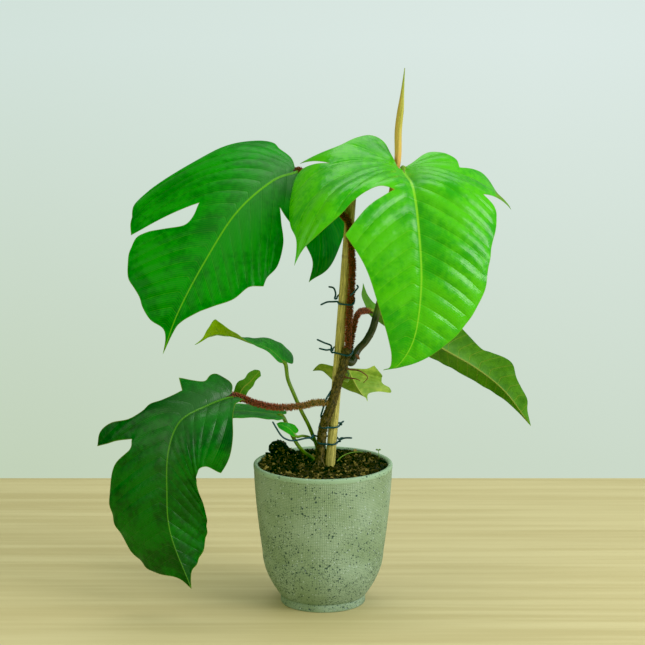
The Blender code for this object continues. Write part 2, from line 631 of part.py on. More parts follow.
def tie(name, height, partner, partner_radius, face, dip, tail_a, tail_b):
    """A wire loop round the cane and its partner, with two tails that end at the given points."""
    circles = [(cane_axis(height), CANE_RADIUS), (partner, partner_radius)]
    path = loop_round(circles, height, face, 16, dip)
    outward = Vector((math.cos(math.radians(face)), math.sin(math.radians(face)), 0)) * WIRE_START
    path = [path[0] + outward] + path + [path[-1] + outward]
    points = [Vector(p) for p in reversed(tail_a)] + path + [Vector(p) for p in tail_b]
    tube(name, on_soil([tuple(p) for p in points]), WIRE_RADIUS, "wire", step=4.0, sides=1)


def upper_stalk_at(height):
    """Centre of the upper left leaf's stalk where it runs along the cane."""
    return beside_cane(height, STALK_TURNS[0][1], HAIRY_STALK_RADIUS, STALK_OFF_CANE)


def make_ties():
    tie("tie_top", 171, upper_stalk_at(171), HAIRY_STALK_RADIUS + 0.4, 190, 4.5,
        [(9, 2, 169.5), (4, 0, 169.5), (-2.5, -2, 167)], [(12.5, 11, 176), (10.5, 9, 182), (5.5, 5, 184)])
    tie("tie_middle", 119.5, stem_at(118), STEM_RADIUS + LEAN, 200, 3.0,
        [(7, 3, 121), (3, 2, 121), (-4, 0, 123)], [(8, 9, 124), (1, 4, 128), (-6, 0, 132)])
    tie("tie_lower", 43, stem_at(43), STEM_RADIUS + LEAN, 20, 1.5,
        [(17, 17, 42), (19, 16, 41.5)], [(18, 9, 45), (21, 10, 47)])
    tie("tie_bottom", 27, stem_at(27), STEM_RADIUS + LEAN, 0, 3.0,
        [(18, 16, 28), (21, 15, 28.5)], [(17, 8, 28), (22, 4, 31), (29, 0, 32)])


# ------------------------------------------------------------------ roots

def make_roots():
    tube("root_long", on_soil([tuple(p) for p in off_stem(104, (0.8, -0.55, -0.1))]
                              + [(36, -8, 102), (44, -9, 96), (40, -9, 90)]), ROOT_RADIUS, "root", step=4.0)
    tube("root_short", on_soil([tuple(p) for p in off_stem(96, (0.8, -0.5, -0.1))]
                               + [(33, -9, 94), (37, -10, 92)]), ROOT_RADIUS, "root", step=4.0)
    arch = []
    for degrees in range(-10, 191, 20):
        side, rise = math.cos(math.radians(degrees)), math.sin(math.radians(degrees))
        x, y = LOOP_AT[0] + LOOP_REACH * side, LOOP_AT[1] - 2 * rise
        clear = soil_height(x, y) + LOOP_RADIUS + 0.6
        arch.append((x, y, max(soil_height(*LOOP_AT) + LOOP_REACH * rise, clear)))
    tube("root_loop", on_soil(arch), LOOP_RADIUS, "root", step=3.0)


def main():
    clear_scene()
    collection(OBJECT_NAME)
    cutters = collection("cutters")
    make_pot()
    make_soil(cutters)
    make_cane()
    make_stems()
    make_spear()
    make_blades()
    make_stalks()
    make_ties()
    make_roots()


main()
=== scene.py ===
"""Looks of the potted climbing philodendron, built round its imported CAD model.

Sizes are in millimetres until a mesh is made. Plant points are measured from the soil's surface.
"""
import math

import bpy
import numpy as np
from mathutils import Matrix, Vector
from mathutils.geometry import delaunay_2d_cdt


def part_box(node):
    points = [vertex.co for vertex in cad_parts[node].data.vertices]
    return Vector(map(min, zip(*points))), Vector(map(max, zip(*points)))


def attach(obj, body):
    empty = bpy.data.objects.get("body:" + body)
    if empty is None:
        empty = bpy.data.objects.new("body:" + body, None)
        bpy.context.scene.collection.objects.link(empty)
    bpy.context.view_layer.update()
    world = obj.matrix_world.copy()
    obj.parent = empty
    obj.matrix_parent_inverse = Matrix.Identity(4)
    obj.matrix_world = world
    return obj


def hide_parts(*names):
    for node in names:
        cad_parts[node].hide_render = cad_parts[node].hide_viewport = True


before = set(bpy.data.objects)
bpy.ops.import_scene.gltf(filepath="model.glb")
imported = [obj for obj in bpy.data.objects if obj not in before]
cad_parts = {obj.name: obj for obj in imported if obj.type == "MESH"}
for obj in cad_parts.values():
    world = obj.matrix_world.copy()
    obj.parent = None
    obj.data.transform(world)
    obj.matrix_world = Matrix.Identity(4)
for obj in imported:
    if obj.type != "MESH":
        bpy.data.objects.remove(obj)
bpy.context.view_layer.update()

MM = 0.001

RIM_RADIUS, _, POT_HEIGHT = (float(size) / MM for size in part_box("pot")[1])
SHOULDER_RADIUS, SHOULDER_HEIGHT = 61.2, 52.0
FOOT_RADIUS, FOOT_HEIGHT = 42.7, 8.5
WALL_BULGE, SHOULDER_ROUND = 1.58, 1.85
POT_WALL, POT_FLOOR, RIM_ROUND = 4.4, 6.0, 1.8
SOIL_TOP = POT_HEIGHT - 7.0
SOIL_CLEARANCE, SOIL_BUMP, SOIL_RISE, SOIL_FLAT_RADIUS = 0.4, 0.7, 4.2, 36.0
MOUND_AT, MOUND_HEIGHT, MOUND_SPREAD = (-44.0, 32.0), 15.0, 10.0
CHIPS, MOUND_CHIPS, FIBRES = 2400, 330, 150

CANE_RADIUS = 5.0
CANE_FOOT = (7.0, 12.0)
CANE_LEAN = (0.0761, -0.0203)
CANE_TOP, CANE_IN_SOIL = 275.0, 90.0
STEM_RADIUS, SHOOT_RADIUS = 5.0, 3.9
HAIRY_RADIUS, YOUNG_RADIUS, THIN_RADIUS, TINY_RADIUS = 3.0, 2.8, 1.9, 1.3
ROOT_RADIUS, LOOP_RADIUS, LOOP_REACH, LOOP_AT = 0.9, 1.4, 8.0, (-46.0, 26.0)
WIRE_RADIUS, WIRE_CLEARANCE, WIRE_START = 0.9, 0.6, 2.0
GAP = 0.3

UP = np.array((0.0, 0.0, 1.0))


# ------------------------------------------------------------------ lines and meshes

def unit(way):
    way = np.asarray(way, float)
    return way / np.linalg.norm(way, axis=-1, keepdims=True)


def ease(share):
    share = np.clip(share, 0.0, 1.0)
    return share * share * (3 - 2 * share)


def smooth(points, step):
    """Catmull-Rom curve through the points, sampled about every step."""
    raw = np.array([tuple(p) for p in points], float)
    ends = np.vstack([2 * raw[0] - raw[1], raw, 2 * raw[-1] - raw[-2]])
    parts = []
    for a, b, c, d in zip(ends, ends[1:], ends[2:], ends[3:]):
        count = max(1, round(np.linalg.norm(c - b) / step))
        t = (np.arange(count) / count)[:, None]
        parts.append(0.5 * (2 * b + (c - a) * t + (2 * a - 5 * b + 4 * c - d) * t * t
                            + (3 * b - a - 3 * c + d) * t ** 3))
    return np.vstack(parts + [raw[-1:]])


def turns(count):
    """Evenly spaced angles round a full turn."""
    return np.arange(count) * 2 * math.pi / count


def run_of(line):
    """Length along the line at each of its points."""
    return np.concatenate([[0], np.cumsum(np.linalg.norm(np.diff(line, axis=0), axis=1))])


def transport(line):
    """Directions along the line, and two across it that turn no more than the line does."""
    way = unit(np.gradient(line, axis=0))
    side = np.cross(way[0], (0.31, 0.17, 0.93))
    sides = []
    for t in way:
        side = unit(side - t * side.dot(t))
        sides.append(side)
    sides = np.array(sides)
    return way, sides, np.cross(way, sides)


def strip(rows, columns, wrap=True):
    row = np.arange(rows - 1)[:, None]
    column = np.arange(columns if wrap else columns - 1)[None, :]
    after = (column + 1) % columns
    quads = [row * columns + column, row * columns + after,
             (row + 1) * columns + after, (row + 1) * columns + column]
    return np.stack(quads, -1).reshape(-1, 4)


class Pile:
    """Gathers points, faces and per-point numbers for one mesh."""

    def __init__(self):
        self.points, self.faces, self.values, self.count = [], [], [], 0

    def add(self, points, *faces, **values):
        points = np.asarray(points, float).reshape(-1, 3)
        for group in faces:
            self.faces += (np.asarray(group) + self.count).tolist()
        self.points.append(points)
        self.values.append({k: np.broadcast_to(v, len(points)) for k, v in values.items()})
        self.count += len(points)

    def build(self, name, kind, smooth_shade=True, sharp=None):
        mesh = bpy.data.meshes.new(name)
        mesh.from_pydata((np.vstack(self.points) * MM).tolist(), [], self.faces)
        for key in sorted({k for v in self.values for k in v}):
            numbers = [v.get(key, np.zeros(len(p))) for v, p in zip(self.values, self.points)]
            layer = mesh.attributes.new(key, "FLOAT", "POINT")
            layer.data.foreach_set("value", np.concatenate(numbers).astype(np.float32))
        mesh.update()
        mesh.polygons.foreach_set("use_smooth", [smooth_shade] * len(mesh.polygons))
        if sharp:
            mesh.set_sharp_from_angle(angle=math.radians(sharp))
        made = bpy.data.objects.new(name, mesh)
        bpy.context.scene.collection.objects.link(made)
        mesh.materials.append(LOOKS[kind])
        return made


def show(piece, slot, *nodes):
    """The piece rides on the body and is shown in place of the CAD nodes."""
    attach(piece, "root")
    if nodes:
        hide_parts(*nodes)
    return piece


def swept(pile, line, radius, columns=16, **values):
    """A closed round bar along the line; radius is one number, or one per row, or per row and column."""
    rows = len(line)
    _, sides, ups = transport(line)
    turn = turns(columns)
    ring = np.cos(turn)[None, :, None] * sides[:, None] + np.sin(turn)[None, :, None] * ups[:, None]
    radius = np.asarray(radius, float)
    if radius.ndim == 1:
        radius = radius[:, None]
    points = (line[:, None] + ring * np.broadcast_to(radius, (rows, columns))[..., None]).reshape(-1, 3)
    points = np.vstack([points, line[0], line[-1]])
    first = np.arange(columns)
    start = np.stack([np.roll(first, -1), first, np.full(columns, rows * columns)], -1)
    last = first + (rows - 1) * columns
    end = np.stack([last, np.roll(last, -1), np.full(columns, rows * columns + 1)], -1)
    run = run_of(line)
    along = np.concatenate([np.repeat(run, columns), [run[0], run[-1]]])
    around = np.concatenate([np.tile(turn, rows), [0, 0]])
    pile.add(points, strip(rows, columns), start, end, along=along, share=along / run[-1], around=around,
             **values)


def show_bar(name, kind, slot, line, radius, columns, *nodes):
    """One swept bar as a piece of its own."""
    pile = Pile()
    swept(pile, line, radius, columns)
    show(pile.build(name, kind), slot, *nodes)


def bristles(pile, line, radius, count, length, seed, width=0.42, low=0.0, high=1.0, lean=0.35):
    """Short soft bristles that stand out of a bar."""
    random = np.random.default_rng(seed)
    way, sides, ups = transport(line)
    at = low + (high - low) * random.random(count)
    spot = at * (len(line) - 1)
    first = np.minimum(spot.astype(int), len(line) - 2)
    part = (spot - first)[:, None]

    def between(values):
        return values[first] * (1 - part) + values[first + 1] * part

    turn = random.random(count) * 2 * math.pi
    along = between(way)
    out = np.cos(turn)[:, None] * between(sides) + np.sin(turn)[:, None] * between(ups)
    cross = np.cross(along, out)
    radii = np.interp(at, np.linspace(0, 1, len(radius)), radius) if np.ndim(radius) else radius
    base = between(line) + out * np.reshape(np.broadcast_to(radii - 0.2, count), (count, 1))
    aim = unit(out + along * random.normal(0.1, lean, (count, 1))
               + cross * random.normal(0, lean, (count, 1)))
    reach = (length * (0.45 + 0.75 * random.random(count)))[:, None]
    middle = base + aim * reach * 0.6
    tip = middle + unit(aim + along * random.normal(0.2, 0.6, (count, 1))
                        + cross * random.normal(0, 0.6, (count, 1))) * reach * 0.45
    across = np.cross(aim, along + 0.01)
    second = np.cross(aim, across)
    wide = (width * (0.7 + 0.6 * random.random(count)))[:, None]
    points = []
    for centre, scale in ((base, 1.0), (middle, 0.75)):
        for k in range(3):
            angle = k * 2 * math.pi / 3
            points.append(centre + (across * math.cos(angle) + second * math.sin(angle)) * wide * scale)
    points.append(tip)
    points = np.stack(points, 1)
    start = np.arange(count)[:, None] * 7
    quads = np.array([(0, 1, 4, 3), (1, 2, 5, 4), (2, 0, 3, 5)])
    tris = np.array([(3, 4, 6), (4, 5, 6), (5, 3, 6)])
    run = run_of(line)[-1]
    pile.add(points, (start[..., None] + quads).reshape(-1, 4), (start[..., None] + tris).reshape(-1, 3),
             along=np.repeat(at * run, 7), share=np.repeat(at, 7),
             tip=np.tile([0, 0, 0, 0.6, 0.6, 0.6, 1], count), tone=np.repeat(random.random(count), 7))


# ------------------------------------------------------------------ materials

class Look:
    """A Principled material, with short ways to wire its nodes."""

    def __init__(self, name, **plain):
        self.material = bpy.data.materials.new(name)
        self.material.use_nodes = True
        self.tree = self.material.node_tree
        self.shader = self.tree.nodes["Principled BSDF"]
        for key, value in plain.items():
            self.put(self.shader.inputs[key.replace("_", " ")], value)
        self.place = self.node("TexCoord").outputs["Object"]

    def put(self, socket, value):
        if isinstance(value, bpy.types.NodeSocket):
            self.tree.links.new(value, socket)
        elif isinstance(value, tuple) and socket.type == "RGBA":
            socket.default_value = (*value, 1.0)
        else:
            socket.default_value = value

    def node(self, kind, *inputs, named=None, **settings):
        made = self.tree.nodes.new("ShaderNode" + kind)
        for key, value in settings.items():
            setattr(made, key, value)
        for socket, value in zip(made.inputs, inputs):
            if value is not None:
                self.put(socket, value)
        for key, value in (named or {}).items():
            self.put(made.inputs[key], value)
        return made

    def math(self, operation, *values):
        return self.node("Math", *values, operation=operation).outputs[0]

    def value(self, name):
        return self.node("Attribute", attribute_name=name).outputs["Fac"]

    def noise(self, scale, detail=3.0, place=None, rough=0.5):
        named = {"Vector": place or self.place, "Scale": scale, "Detail": detail, "Roughness": rough}
        return self.node("TexNoise", named=named).outputs["Fac"]

    def cells(self, scale, place=None):
        return self.node("TexVoronoi", named={"Vector": place or self.place, "Scale": scale})

    def scaled(self, x, y, z):
        return self.node("Mapping", self.place, named={"Scale": (x, y, z)}).outputs[0]

    def mix(self, share, a, b):
        made = self.node("Mix", data_type="RGBA")
        self.put(made.inputs[0], share)
        self.put(made.inputs[6], a)
        self.put(made.inputs[7], b)
        return made.outputs[2]

    def range(self, value, low, high, to_low=0.0, to_high=1.0):
        made = self.node("MapRange", value, low, high, to_low, to_high, interpolation_type="SMOOTHSTEP")
        return made.outputs[0]

    def bump(self, height, distance, normal=None):
        named = {"Height": height, "Distance": distance}
        if normal:
            named["Normal"] = normal
        return self.node("Bump", named=named).outputs[0]

    def times(self, a, b):
        return self.math("MULTIPLY", a, b)

    def zigzag(self, value):
        """Goes from 0 to 1 and back for each whole number that the value passes."""
        return self.times(self.math("PINGPONG", value, 0.5), 2.0)

    def streaks(self, scale, detail, stretch, rough=0.5):
        """Noise drawn out along a stem or stalk; stretch is how fast it changes along it."""
        around, along = self.value("around"), self.value("along")
        place = self.node("CombineXYZ", self.math("COSINE", around), self.math("SINE", around),
                          self.times(along, stretch))
        return self.noise(scale, detail, place.outputs[0], rough)

    def stain(self, colour, new, value, low, high, to_low=0.0, to_high=1.0):
        """The colour, with the new one laid over it where the value says."""
        return self.mix(self.range(value, low, high, to_low, to_high), colour, new)

    def done(self, colour, roughness, normal=None):
        """The finished material; one without a bump keeps its plain normal."""
        self.put(self.shader.inputs["Base Color"], colour)
        self.put(self.shader.inputs["Roughness"], roughness)
        if normal:
            self.put(self.shader.inputs["Normal"], normal)
        return self.material


def leaf_look(name, dark, light, under, under_light, rib, rough, line=0.35, painted_sheen=0.0, shine=0.3):
    """Waxy leaf: pale midrib, sunken side veins, fine lines between them, and a duller underside.

    line is how far the side veins show, painted_sheen how far a painted greyish sheen lies over the part by
    the stalk, shine the gloss.
    """
    look = Look(name, IOR=1.45, Specular_IOR_Level=shine)
    vein, margin = look.value("vein"), look.value("margin")
    rib_share, side = look.value("rib"), look.value("under")
    speck = look.noise(190, 3.0)
    tone = look.math("MULTIPLY_ADD", speck, 0.35, look.times(look.noise(26, 2.0), 0.65))
    colour = look.stain(dark, light, tone, 0.38, 0.60)
    panel = look.zigzag(vein)
    lines = look.zigzag(look.times(vein, 7.0))
    inner = look.range(margin, 0.0, 9.0)
    colour = look.mix(look.times(look.range(lines, 0.0, 0.5, 0.10, 0.0), inner), colour, rib)
    thin = look.times(look.range(panel, 0.012, 0.07, line, 0.0), look.range(speck, 0.35, 0.6, 0.4, 1.0))
    colour = look.mix(look.times(thin, inner), colour, rib)
    # painted reflection: a greyish sheen painted over the part of the blade by the stalk
    if painted_sheen:
        colour = look.mix(look.times(look.value("base"), painted_sheen), colour, (0.07, 0.20, 0.06))
    colour = look.stain(colour, rib, rib_share, 0.55, 1.0, 0.8, 0.0)
    colour = look.stain(colour, (0.22, 0.30, 0.02), margin, 0.15, 0.8, 0.55, 0.0)
    back = look.stain(under, under_light, tone, 0.35, 0.62)
    back = look.stain(back, rib, panel, 0.02, 0.11, 0.5, 0.0)
    back = look.stain(back, rib, rib_share, 0.9, 1.4, 1.0, 0.0)
    colour = look.mix(side, colour, back)
    roughness = look.range(look.noise(60, 3.0), 0.3, 0.7, rough - 0.05, rough + 0.07)
    roughness = look.math("MULTIPLY_ADD", side, 0.14, roughness)
    grain = look.bump(look.cells(900.0).outputs["Distance"], 0.00004)
    fine = look.bump(look.times(lines, inner), 0.00005, grain)
    crease = look.bump(look.times(look.range(panel, 0.0, 0.20), inner), 0.00018, fine)
    quilt = look.bump(look.noise(70, 2.0), 0.0009, crease)
    return look.done(colour, roughness, quilt)


def ceramic_look():
    """Matte sage glaze over a fine woven relief: painted shade in its hollows, a painted highlight on its
    threads, dark speckles crowding to the foot as partly painted shade, and pale spots painted as glints.
    """
    look = Look("ceramic", IOR=1.45)
    x, y, z = look.node("SeparateXYZ", look.place).outputs[:3]
    angle = look.math("ARCTAN2", y, x)
    threads, pitch = 232.0, 1.7 * MM
    upright = look.math("SINE", look.times(angle, threads))
    level = look.math("SINE", look.times(z, 2 * math.pi / pitch))
    weave = look.math("MULTIPLY_ADD", look.times(upright, level), 0.5,
                      look.times(look.math("MAXIMUM", upright, level), 0.5))
    band = look.range(z, (POT_HEIGHT - 5.5) * MM, (POT_HEIGHT - 4.0) * MM, 1.0, 0.0)
    foot = look.range(z, (FOOT_HEIGHT + 0.5) * MM, (FOOT_HEIGHT + 3.0) * MM, 0.25, 1.0)
    woven = look.times(look.times(weave, band), foot)
    woven = look.times(woven, look.range(look.noise(140, 2.0), 0.25, 0.65, 0.45, 1.0))
    colour = look.stain((0.240, 0.335, 0.185), (0.340, 0.455, 0.315), look.noise(22, 3.0), 0.3, 0.7)
    # painted shade in the weave's hollows, then a painted highlight on its raised threads
    colour = look.stain(colour, (0.085, 0.14, 0.055), woven, -0.6, 0.6, 0.6, 0.0)
    colour = look.stain(colour, (0.50, 0.62, 0.44), woven, 0.25, 0.9, 0.0, 0.55)
    colour = look.stain(colour, (0.33, 0.50, 0.32), z,
                        (POT_HEIGHT - 5.0) * MM, (POT_HEIGHT - 3.5) * MM, 0.0, 0.6)
    bend = look.noise(300, 2.0)
    shifted = look.node("VectorMath", look.place, operation="ADD")
    offset = look.node("VectorMath", look.node("CombineXYZ", bend, bend, bend).outputs[0],
                       (0.0016, 0.0013, 0.0015), operation="MULTIPLY")
    look.put(shifted.inputs[1], offset.outputs[0])
    # the specks crowd towards the foot and darken the lower pot: real speckle, spread as painted shade
    low = look.range(z, 0.020, 0.125, 1.0, 0.30)
    patches = look.range(look.noise(34, 2.0), 0.40, 0.62)
    share = look.times(look.math("MULTIPLY_ADD", patches, 0.75, 0.25), low)

    def specks(scale, size, most):
        cell = look.cells(scale, shifted.outputs[0])
        pick = look.node("SeparateColor", cell.outputs["Color"])
        wanted = look.math("LESS_THAN", pick.outputs[0], look.times(share, most))
        radius = look.math("MULTIPLY_ADD", pick.outputs[1], size * 0.75, size * 0.35)
        inside = look.range(look.math("SUBTRACT", radius, cell.outputs["Distance"]), -0.02, 0.06)
        return look.times(inside, wanted)

    dark = look.math("MAXIMUM", specks(300.0, 0.34, 0.75), specks(520.0, 0.38, 1.3))
    colour = look.mix(look.times(dark, 0.9), colour, (0.018, 0.045, 0.040))
    faint = specks(760.0, 0.44, 1.8)
    colour = look.mix(look.times(faint, 0.55), colour, (0.05, 0.085, 0.055))
    # painted glints: small pale blue-white spots standing in for light caught on the glaze
    glint_cell = look.cells(420.0)
    chosen = look.node("SeparateColor", glint_cell.outputs["Color"])
    pale = look.times(look.math("LESS_THAN", chosen.outputs[2], 0.10),
                      look.range(glint_cell.outputs["Distance"], 0.22, 0.36, 1.0, 0.0))
    colour = look.mix(look.times(pale, 0.55), colour, (0.56, 0.68, 0.66))
    rough = look.range(woven, -0.6, 0.8, 0.78, 0.55)
    grain = look.bump(look.noise(900, 3.0), 0.00012)
    relief = look.bump(woven, 0.00032, grain)
    pits = look.bump(look.times(dark, -1.0), 0.00018, relief)
    return look.done(colour, rough, pits)


def soil_look():
    """Dark crumbs, with brown chips and fibres where the mesh says so."""
    look = Look("soil_mix", Specular_IOR_Level=0.2)
    tone, chip = look.value("tone"), look.value("chip")
    crumb = look.noise(420, 4.0, rough=0.7)
    ground = look.stain((0.0025, 0.0018, 0.0003), (0.016, 0.0115, 0.0016), crumb, 0.35, 0.7)
    brown = look.stain((0.005, 0.0034, 0.0005), (0.048, 0.033, 0.0055), tone, 0.0, 0.7)
    brown = look.stain(brown, (0.26, 0.20, 0.045), tone, 0.78, 0.97)
    fleck = look.noise(900, 3.0)
    brown = look.stain(brown, (0.012, 0.008, 0.0012), fleck, 0.45, 0.75, 0.0, 0.5)
    colour = look.mix(chip, ground, brown)
    rough = look.range(crumb, 0.3, 0.7, 0.72, 0.95)
    return look.done(colour, rough, look.bump(crumb, 0.0009))


def bamboo_look():
    """Dry cane: lengthwise fibres, a greyer weathered side and pale scuffs."""
    look = Look("bamboo", IOR=1.45)
    grain = look.streaks(9.0, 4.0, 0.006, 0.65)
    fine = look.streaks(30.0, 4.0, 0.006, 0.7)
    colour = look.stain((0.17, 0.15, 0.022), (0.86, 0.78, 0.20), grain, 0.32, 0.68)
    colour = look.stain(colour, (0.08, 0.055, 0.008), fine, 0.48, 0.66, 0.0, 0.75)
    facing = look.math("COSINE", look.math("SUBTRACT", look.value("around"), 5.5))
    weather = look.times(look.range(facing, 0.1, 0.9), look.range(look.noise(40, 2.0), 0.3, 0.6, 0.35, 0.85))
    colour = look.mix(weather, colour, (0.15, 0.17, 0.05))
    colour = look.mix(look.times(look.value("ring"), 0.6), colour, (0.20, 0.13, 0.05))
    return look.done(colour, look.range(fine, 0.3, 0.7, 0.42, 0.62), look.bump(fine, 0.00025))


def stem_look(name, dark, light, fleck, bristle, tip, rough=0.6, start=None):
    """Stems and hairy stalks: bark with flecks, and bristles whose tips take their own colour.

    start gives two shares of the length, and the bark and bristle colours that fade out between them.
    """
    look = Look(name, IOR=1.45)
    streak = look.streaks(2.6, 5.0, 0.10, 0.65)
    colour = look.stain(dark, light, streak, 0.35, 0.65)
    colour = look.stain(colour, fleck, look.streaks(5.5, 3.0, 0.10), 0.58, 0.70, 0.0, 0.8)
    hair = look.stain(bristle, tip, look.value("tone"), 0.0, 1.0)
    if start:
        low, high, bark_start, hair_start = start
        colour = look.stain(bark_start, colour, look.value("share"), low, high)
        hair = look.stain(hair_start, hair, look.value("share"), low, high)
    hair = look.mix(look.times(look.value("tip"), 0.7), hair, tip)
    colour = look.stain(colour, hair, look.value("tip"), 0.0, 0.2)
    roughness = look.range(streak, 0.3, 0.7, rough - 0.1, rough + 0.1)
    return look.done(colour, roughness, look.bump(streak, 0.0006))


def green_look(name, dark, light, pink, rough=0.42, top=None):
    """Smooth stalk with streaks and a flush; top is a share of its length and the colour above it."""
    look = Look(name, IOR=1.45)
    streak = look.streaks(2.5, 4.0, 0.05)
    colour = look.stain(dark, light, streak, 0.3, 0.7)
    colour = look.stain(colour, pink, look.noise(70, 3.0), 0.55, 0.75, 0.0, 0.6)
    if top:
        colour = look.stain(colour, top[1], look.value("share"), top[0] - 0.06, top[0] + 0.06)
    roughness = look.range(streak, 0.3, 0.7, rough - 0.06, rough + 0.08)
    return look.done(colour, roughness, look.bump(streak, 0.0003))


def spear_look():
    """Rolled new leaf: yellow-green on the right, olive tan on the left, pink in its lower part."""
    look = Look("new_leaf", IOR=1.45)
    share = look.value("share")
    streak = look.streaks(6.0, 4.0, 0.012)
    colour = look.stain((0.56, 0.42, 0.075), (0.48, 0.47, 0.075), look.value("right"), -0.3, 0.5)
    colour = look.stain(colour, (0.25, 0.22, 0.04), streak, 0.45, 0.75, 0.0, 0.5)
    colour = look.stain(colour, (0.30, 0.40, 0.04), share, 0.84, 0.98)
    colour = look.stain(colour, (0.86, 0.46, 0.13), share, 0.45, 0.85, 0.95, 0.0)
    return look.done(colour, look.range(streak, 0.3, 0.7, 0.35, 0.5), look.bump(streak, 0.0003))


def wire_look():
    """Dark teal plastic coat."""
    look = Look("coated_wire", IOR=1.45)
    colour = look.stain((0.006, 0.045, 0.055), (0.016, 0.085, 0.095), look.noise(500, 3.0), 0.4, 0.7)
    roughness = look.range(look.noise(300, 2.0), 0.3, 0.7, 0.30, 0.48)
    return look.done(colour, roughness, look.bump(look.noise(800), 0.00005))


def floor_look():
    """Plain pale floor with a faint long grain."""
    look = Look("pale_floor")
    grain = look.noise(7.0, 6.0, look.scaled(0.22, 7.0, 1.0), 0.62)
    colour = look.stain((0.555, 0.470, 0.225), (0.635, 0.555, 0.290), grain, 0.35, 0.65)
    return look.done(colour, look.range(grain, 0.3, 0.7, 0.5, 0.62))


LOOKS = {
    "ceramic": ceramic_look(),
    "soil": soil_look(),
    "bamboo": bamboo_look(),
    "wire": wire_look(),
    "floor": floor_look(),
    "new_leaf": spear_look(),
    "bark": stem_look("bark", (0.016, 0.012, 0.002), (0.13, 0.095, 0.014), (0.26, 0.19, 0.04),
                      (0.035, 0.018, 0.004), (0.17, 0.10, 0.02), 0.7),
    "hairy_red": stem_look("hairy_red", (0.022, 0.006, 0.003), (0.09, 0.024, 0.010), (0.012, 0.006, 0.002),
                           (0.10, 0.010, 0.008), (0.33, 0.085, 0.030), 0.6),
    "hairy_fade": stem_look("hairy_fade", (0.025, 0.006, 0.003), (0.11, 0.025, 0.008), (0.04, 0.010, 0.003),
                            (0.15, 0.012, 0.010), (0.42, 0.11, 0.05), 0.6,
                            start=(0.05, 0.60, (0.07, 0.07, 0.008), (0.30, 0.28, 0.045))),
    "young_stem": green_look("young_stem", (0.018, 0.020, 0.006), (0.048, 0.050, 0.015),
                             (0.09, 0.028, 0.014), 0.36, (0.66, (0.085, 0.16, 0.012))),
    "green_stalk": green_look("green_stalk", (0.07, 0.17, 0.006), (0.18, 0.33, 0.012), (0.24, 0.25, 0.02)),
    "root": green_look("root", (0.10, 0.035, 0.012), (0.24, 0.10, 0.035), (0.05, 0.02, 0.01), 0.7),
    "dark_root": green_look("dark_root", (0.010, 0.010, 0.004), (0.030, 0.026, 0.010),
                            (0.06, 0.055, 0.025), 0.6),
    "leaf_mid": leaf_look("leaf_mid", (0.0006, 0.160, 0.0003), (0.005, 0.275, 0.0006), (0.05, 0.20, 0.005),
                          (0.10, 0.28, 0.010), (0.14, 0.48, 0.01), 0.34, 0.14, painted_sheen=0.6, shine=0.16),
    "leaf_bright": leaf_look("leaf_bright", (0.022, 0.330, 0.0005), (0.068, 0.470, 0.0008),
                             (0.09, 0.24, 0.008), (0.15, 0.34, 0.015), (0.24, 0.62, 0.02), 0.25, 0.20,
                             painted_sheen=0.1, shine=0.42),
    "leaf_dark": leaf_look("leaf_dark", (0.0003, 0.055, 0.0002), (0.0010, 0.130, 0.0004), (0.15, 0.25, 0.008),
                           (0.24, 0.35, 0.020), (0.09, 0.30, 0.015), 0.27, 0.10, painted_sheen=0.5, shine=0.30),
    "leaf_green": leaf_look("leaf_green", (0.006, 0.190, 0.002), (0.022, 0.320, 0.003), (0.17, 0.36, 0.004),
                            (0.25, 0.46, 0.008), (0.16, 0.40, 0.03), 0.36, 0.18),
    "leaf_olive": leaf_look("leaf_olive", (0.008, 0.110, 0.005), (0.025, 0.190, 0.010), (0.040, 0.165, 0.001),
                            (0.075, 0.250, 0.002), (0.19, 0.27, 0.02), 0.40, 0.18),
    "leaf_pale": leaf_look("leaf_pale", (0.008, 0.110, 0.005), (0.025, 0.190, 0.010), (0.15, 0.29, 0.018),
                           (0.36, 0.50, 0.060), (0.32, 0.40, 0.06), 0.42, 0.18),
}


# ------------------------------------------------------------------ pot and mix

def wall_radius(height):
    height = np.asarray(height, float)
    over = np.clip((height - SHOULDER_HEIGHT) / (POT_HEIGHT - SHOULDER_HEIGHT), 0, 1)
    under = np.clip((SHOULDER_HEIGHT - height) / (SHOULDER_HEIGHT - FOOT_HEIGHT), 0, None)
    upper = SHOULDER_RADIUS + (RIM_RADIUS - SHOULDER_RADIUS) * (1 - (1 - over) ** WALL_BULGE)
    lower = SHOULDER_RADIUS - (SHOULDER_RADIUS - FOOT_RADIUS - 1.0) * under ** SHOULDER_ROUND
    return np.where(height >= SHOULDER_HEIGHT, upper, lower)


def inner_radius(height):
    return wall_radius(np.maximum(height, FOOT_HEIGHT)) - POT_WALL


def arc(centre_r, centre_z, radius, start, end, count):
    turn = np.radians(np.linspace(start, end, count))
    return np.stack([centre_r + radius * np.cos(turn), centre_z + radius * np.sin(turn)], -1)


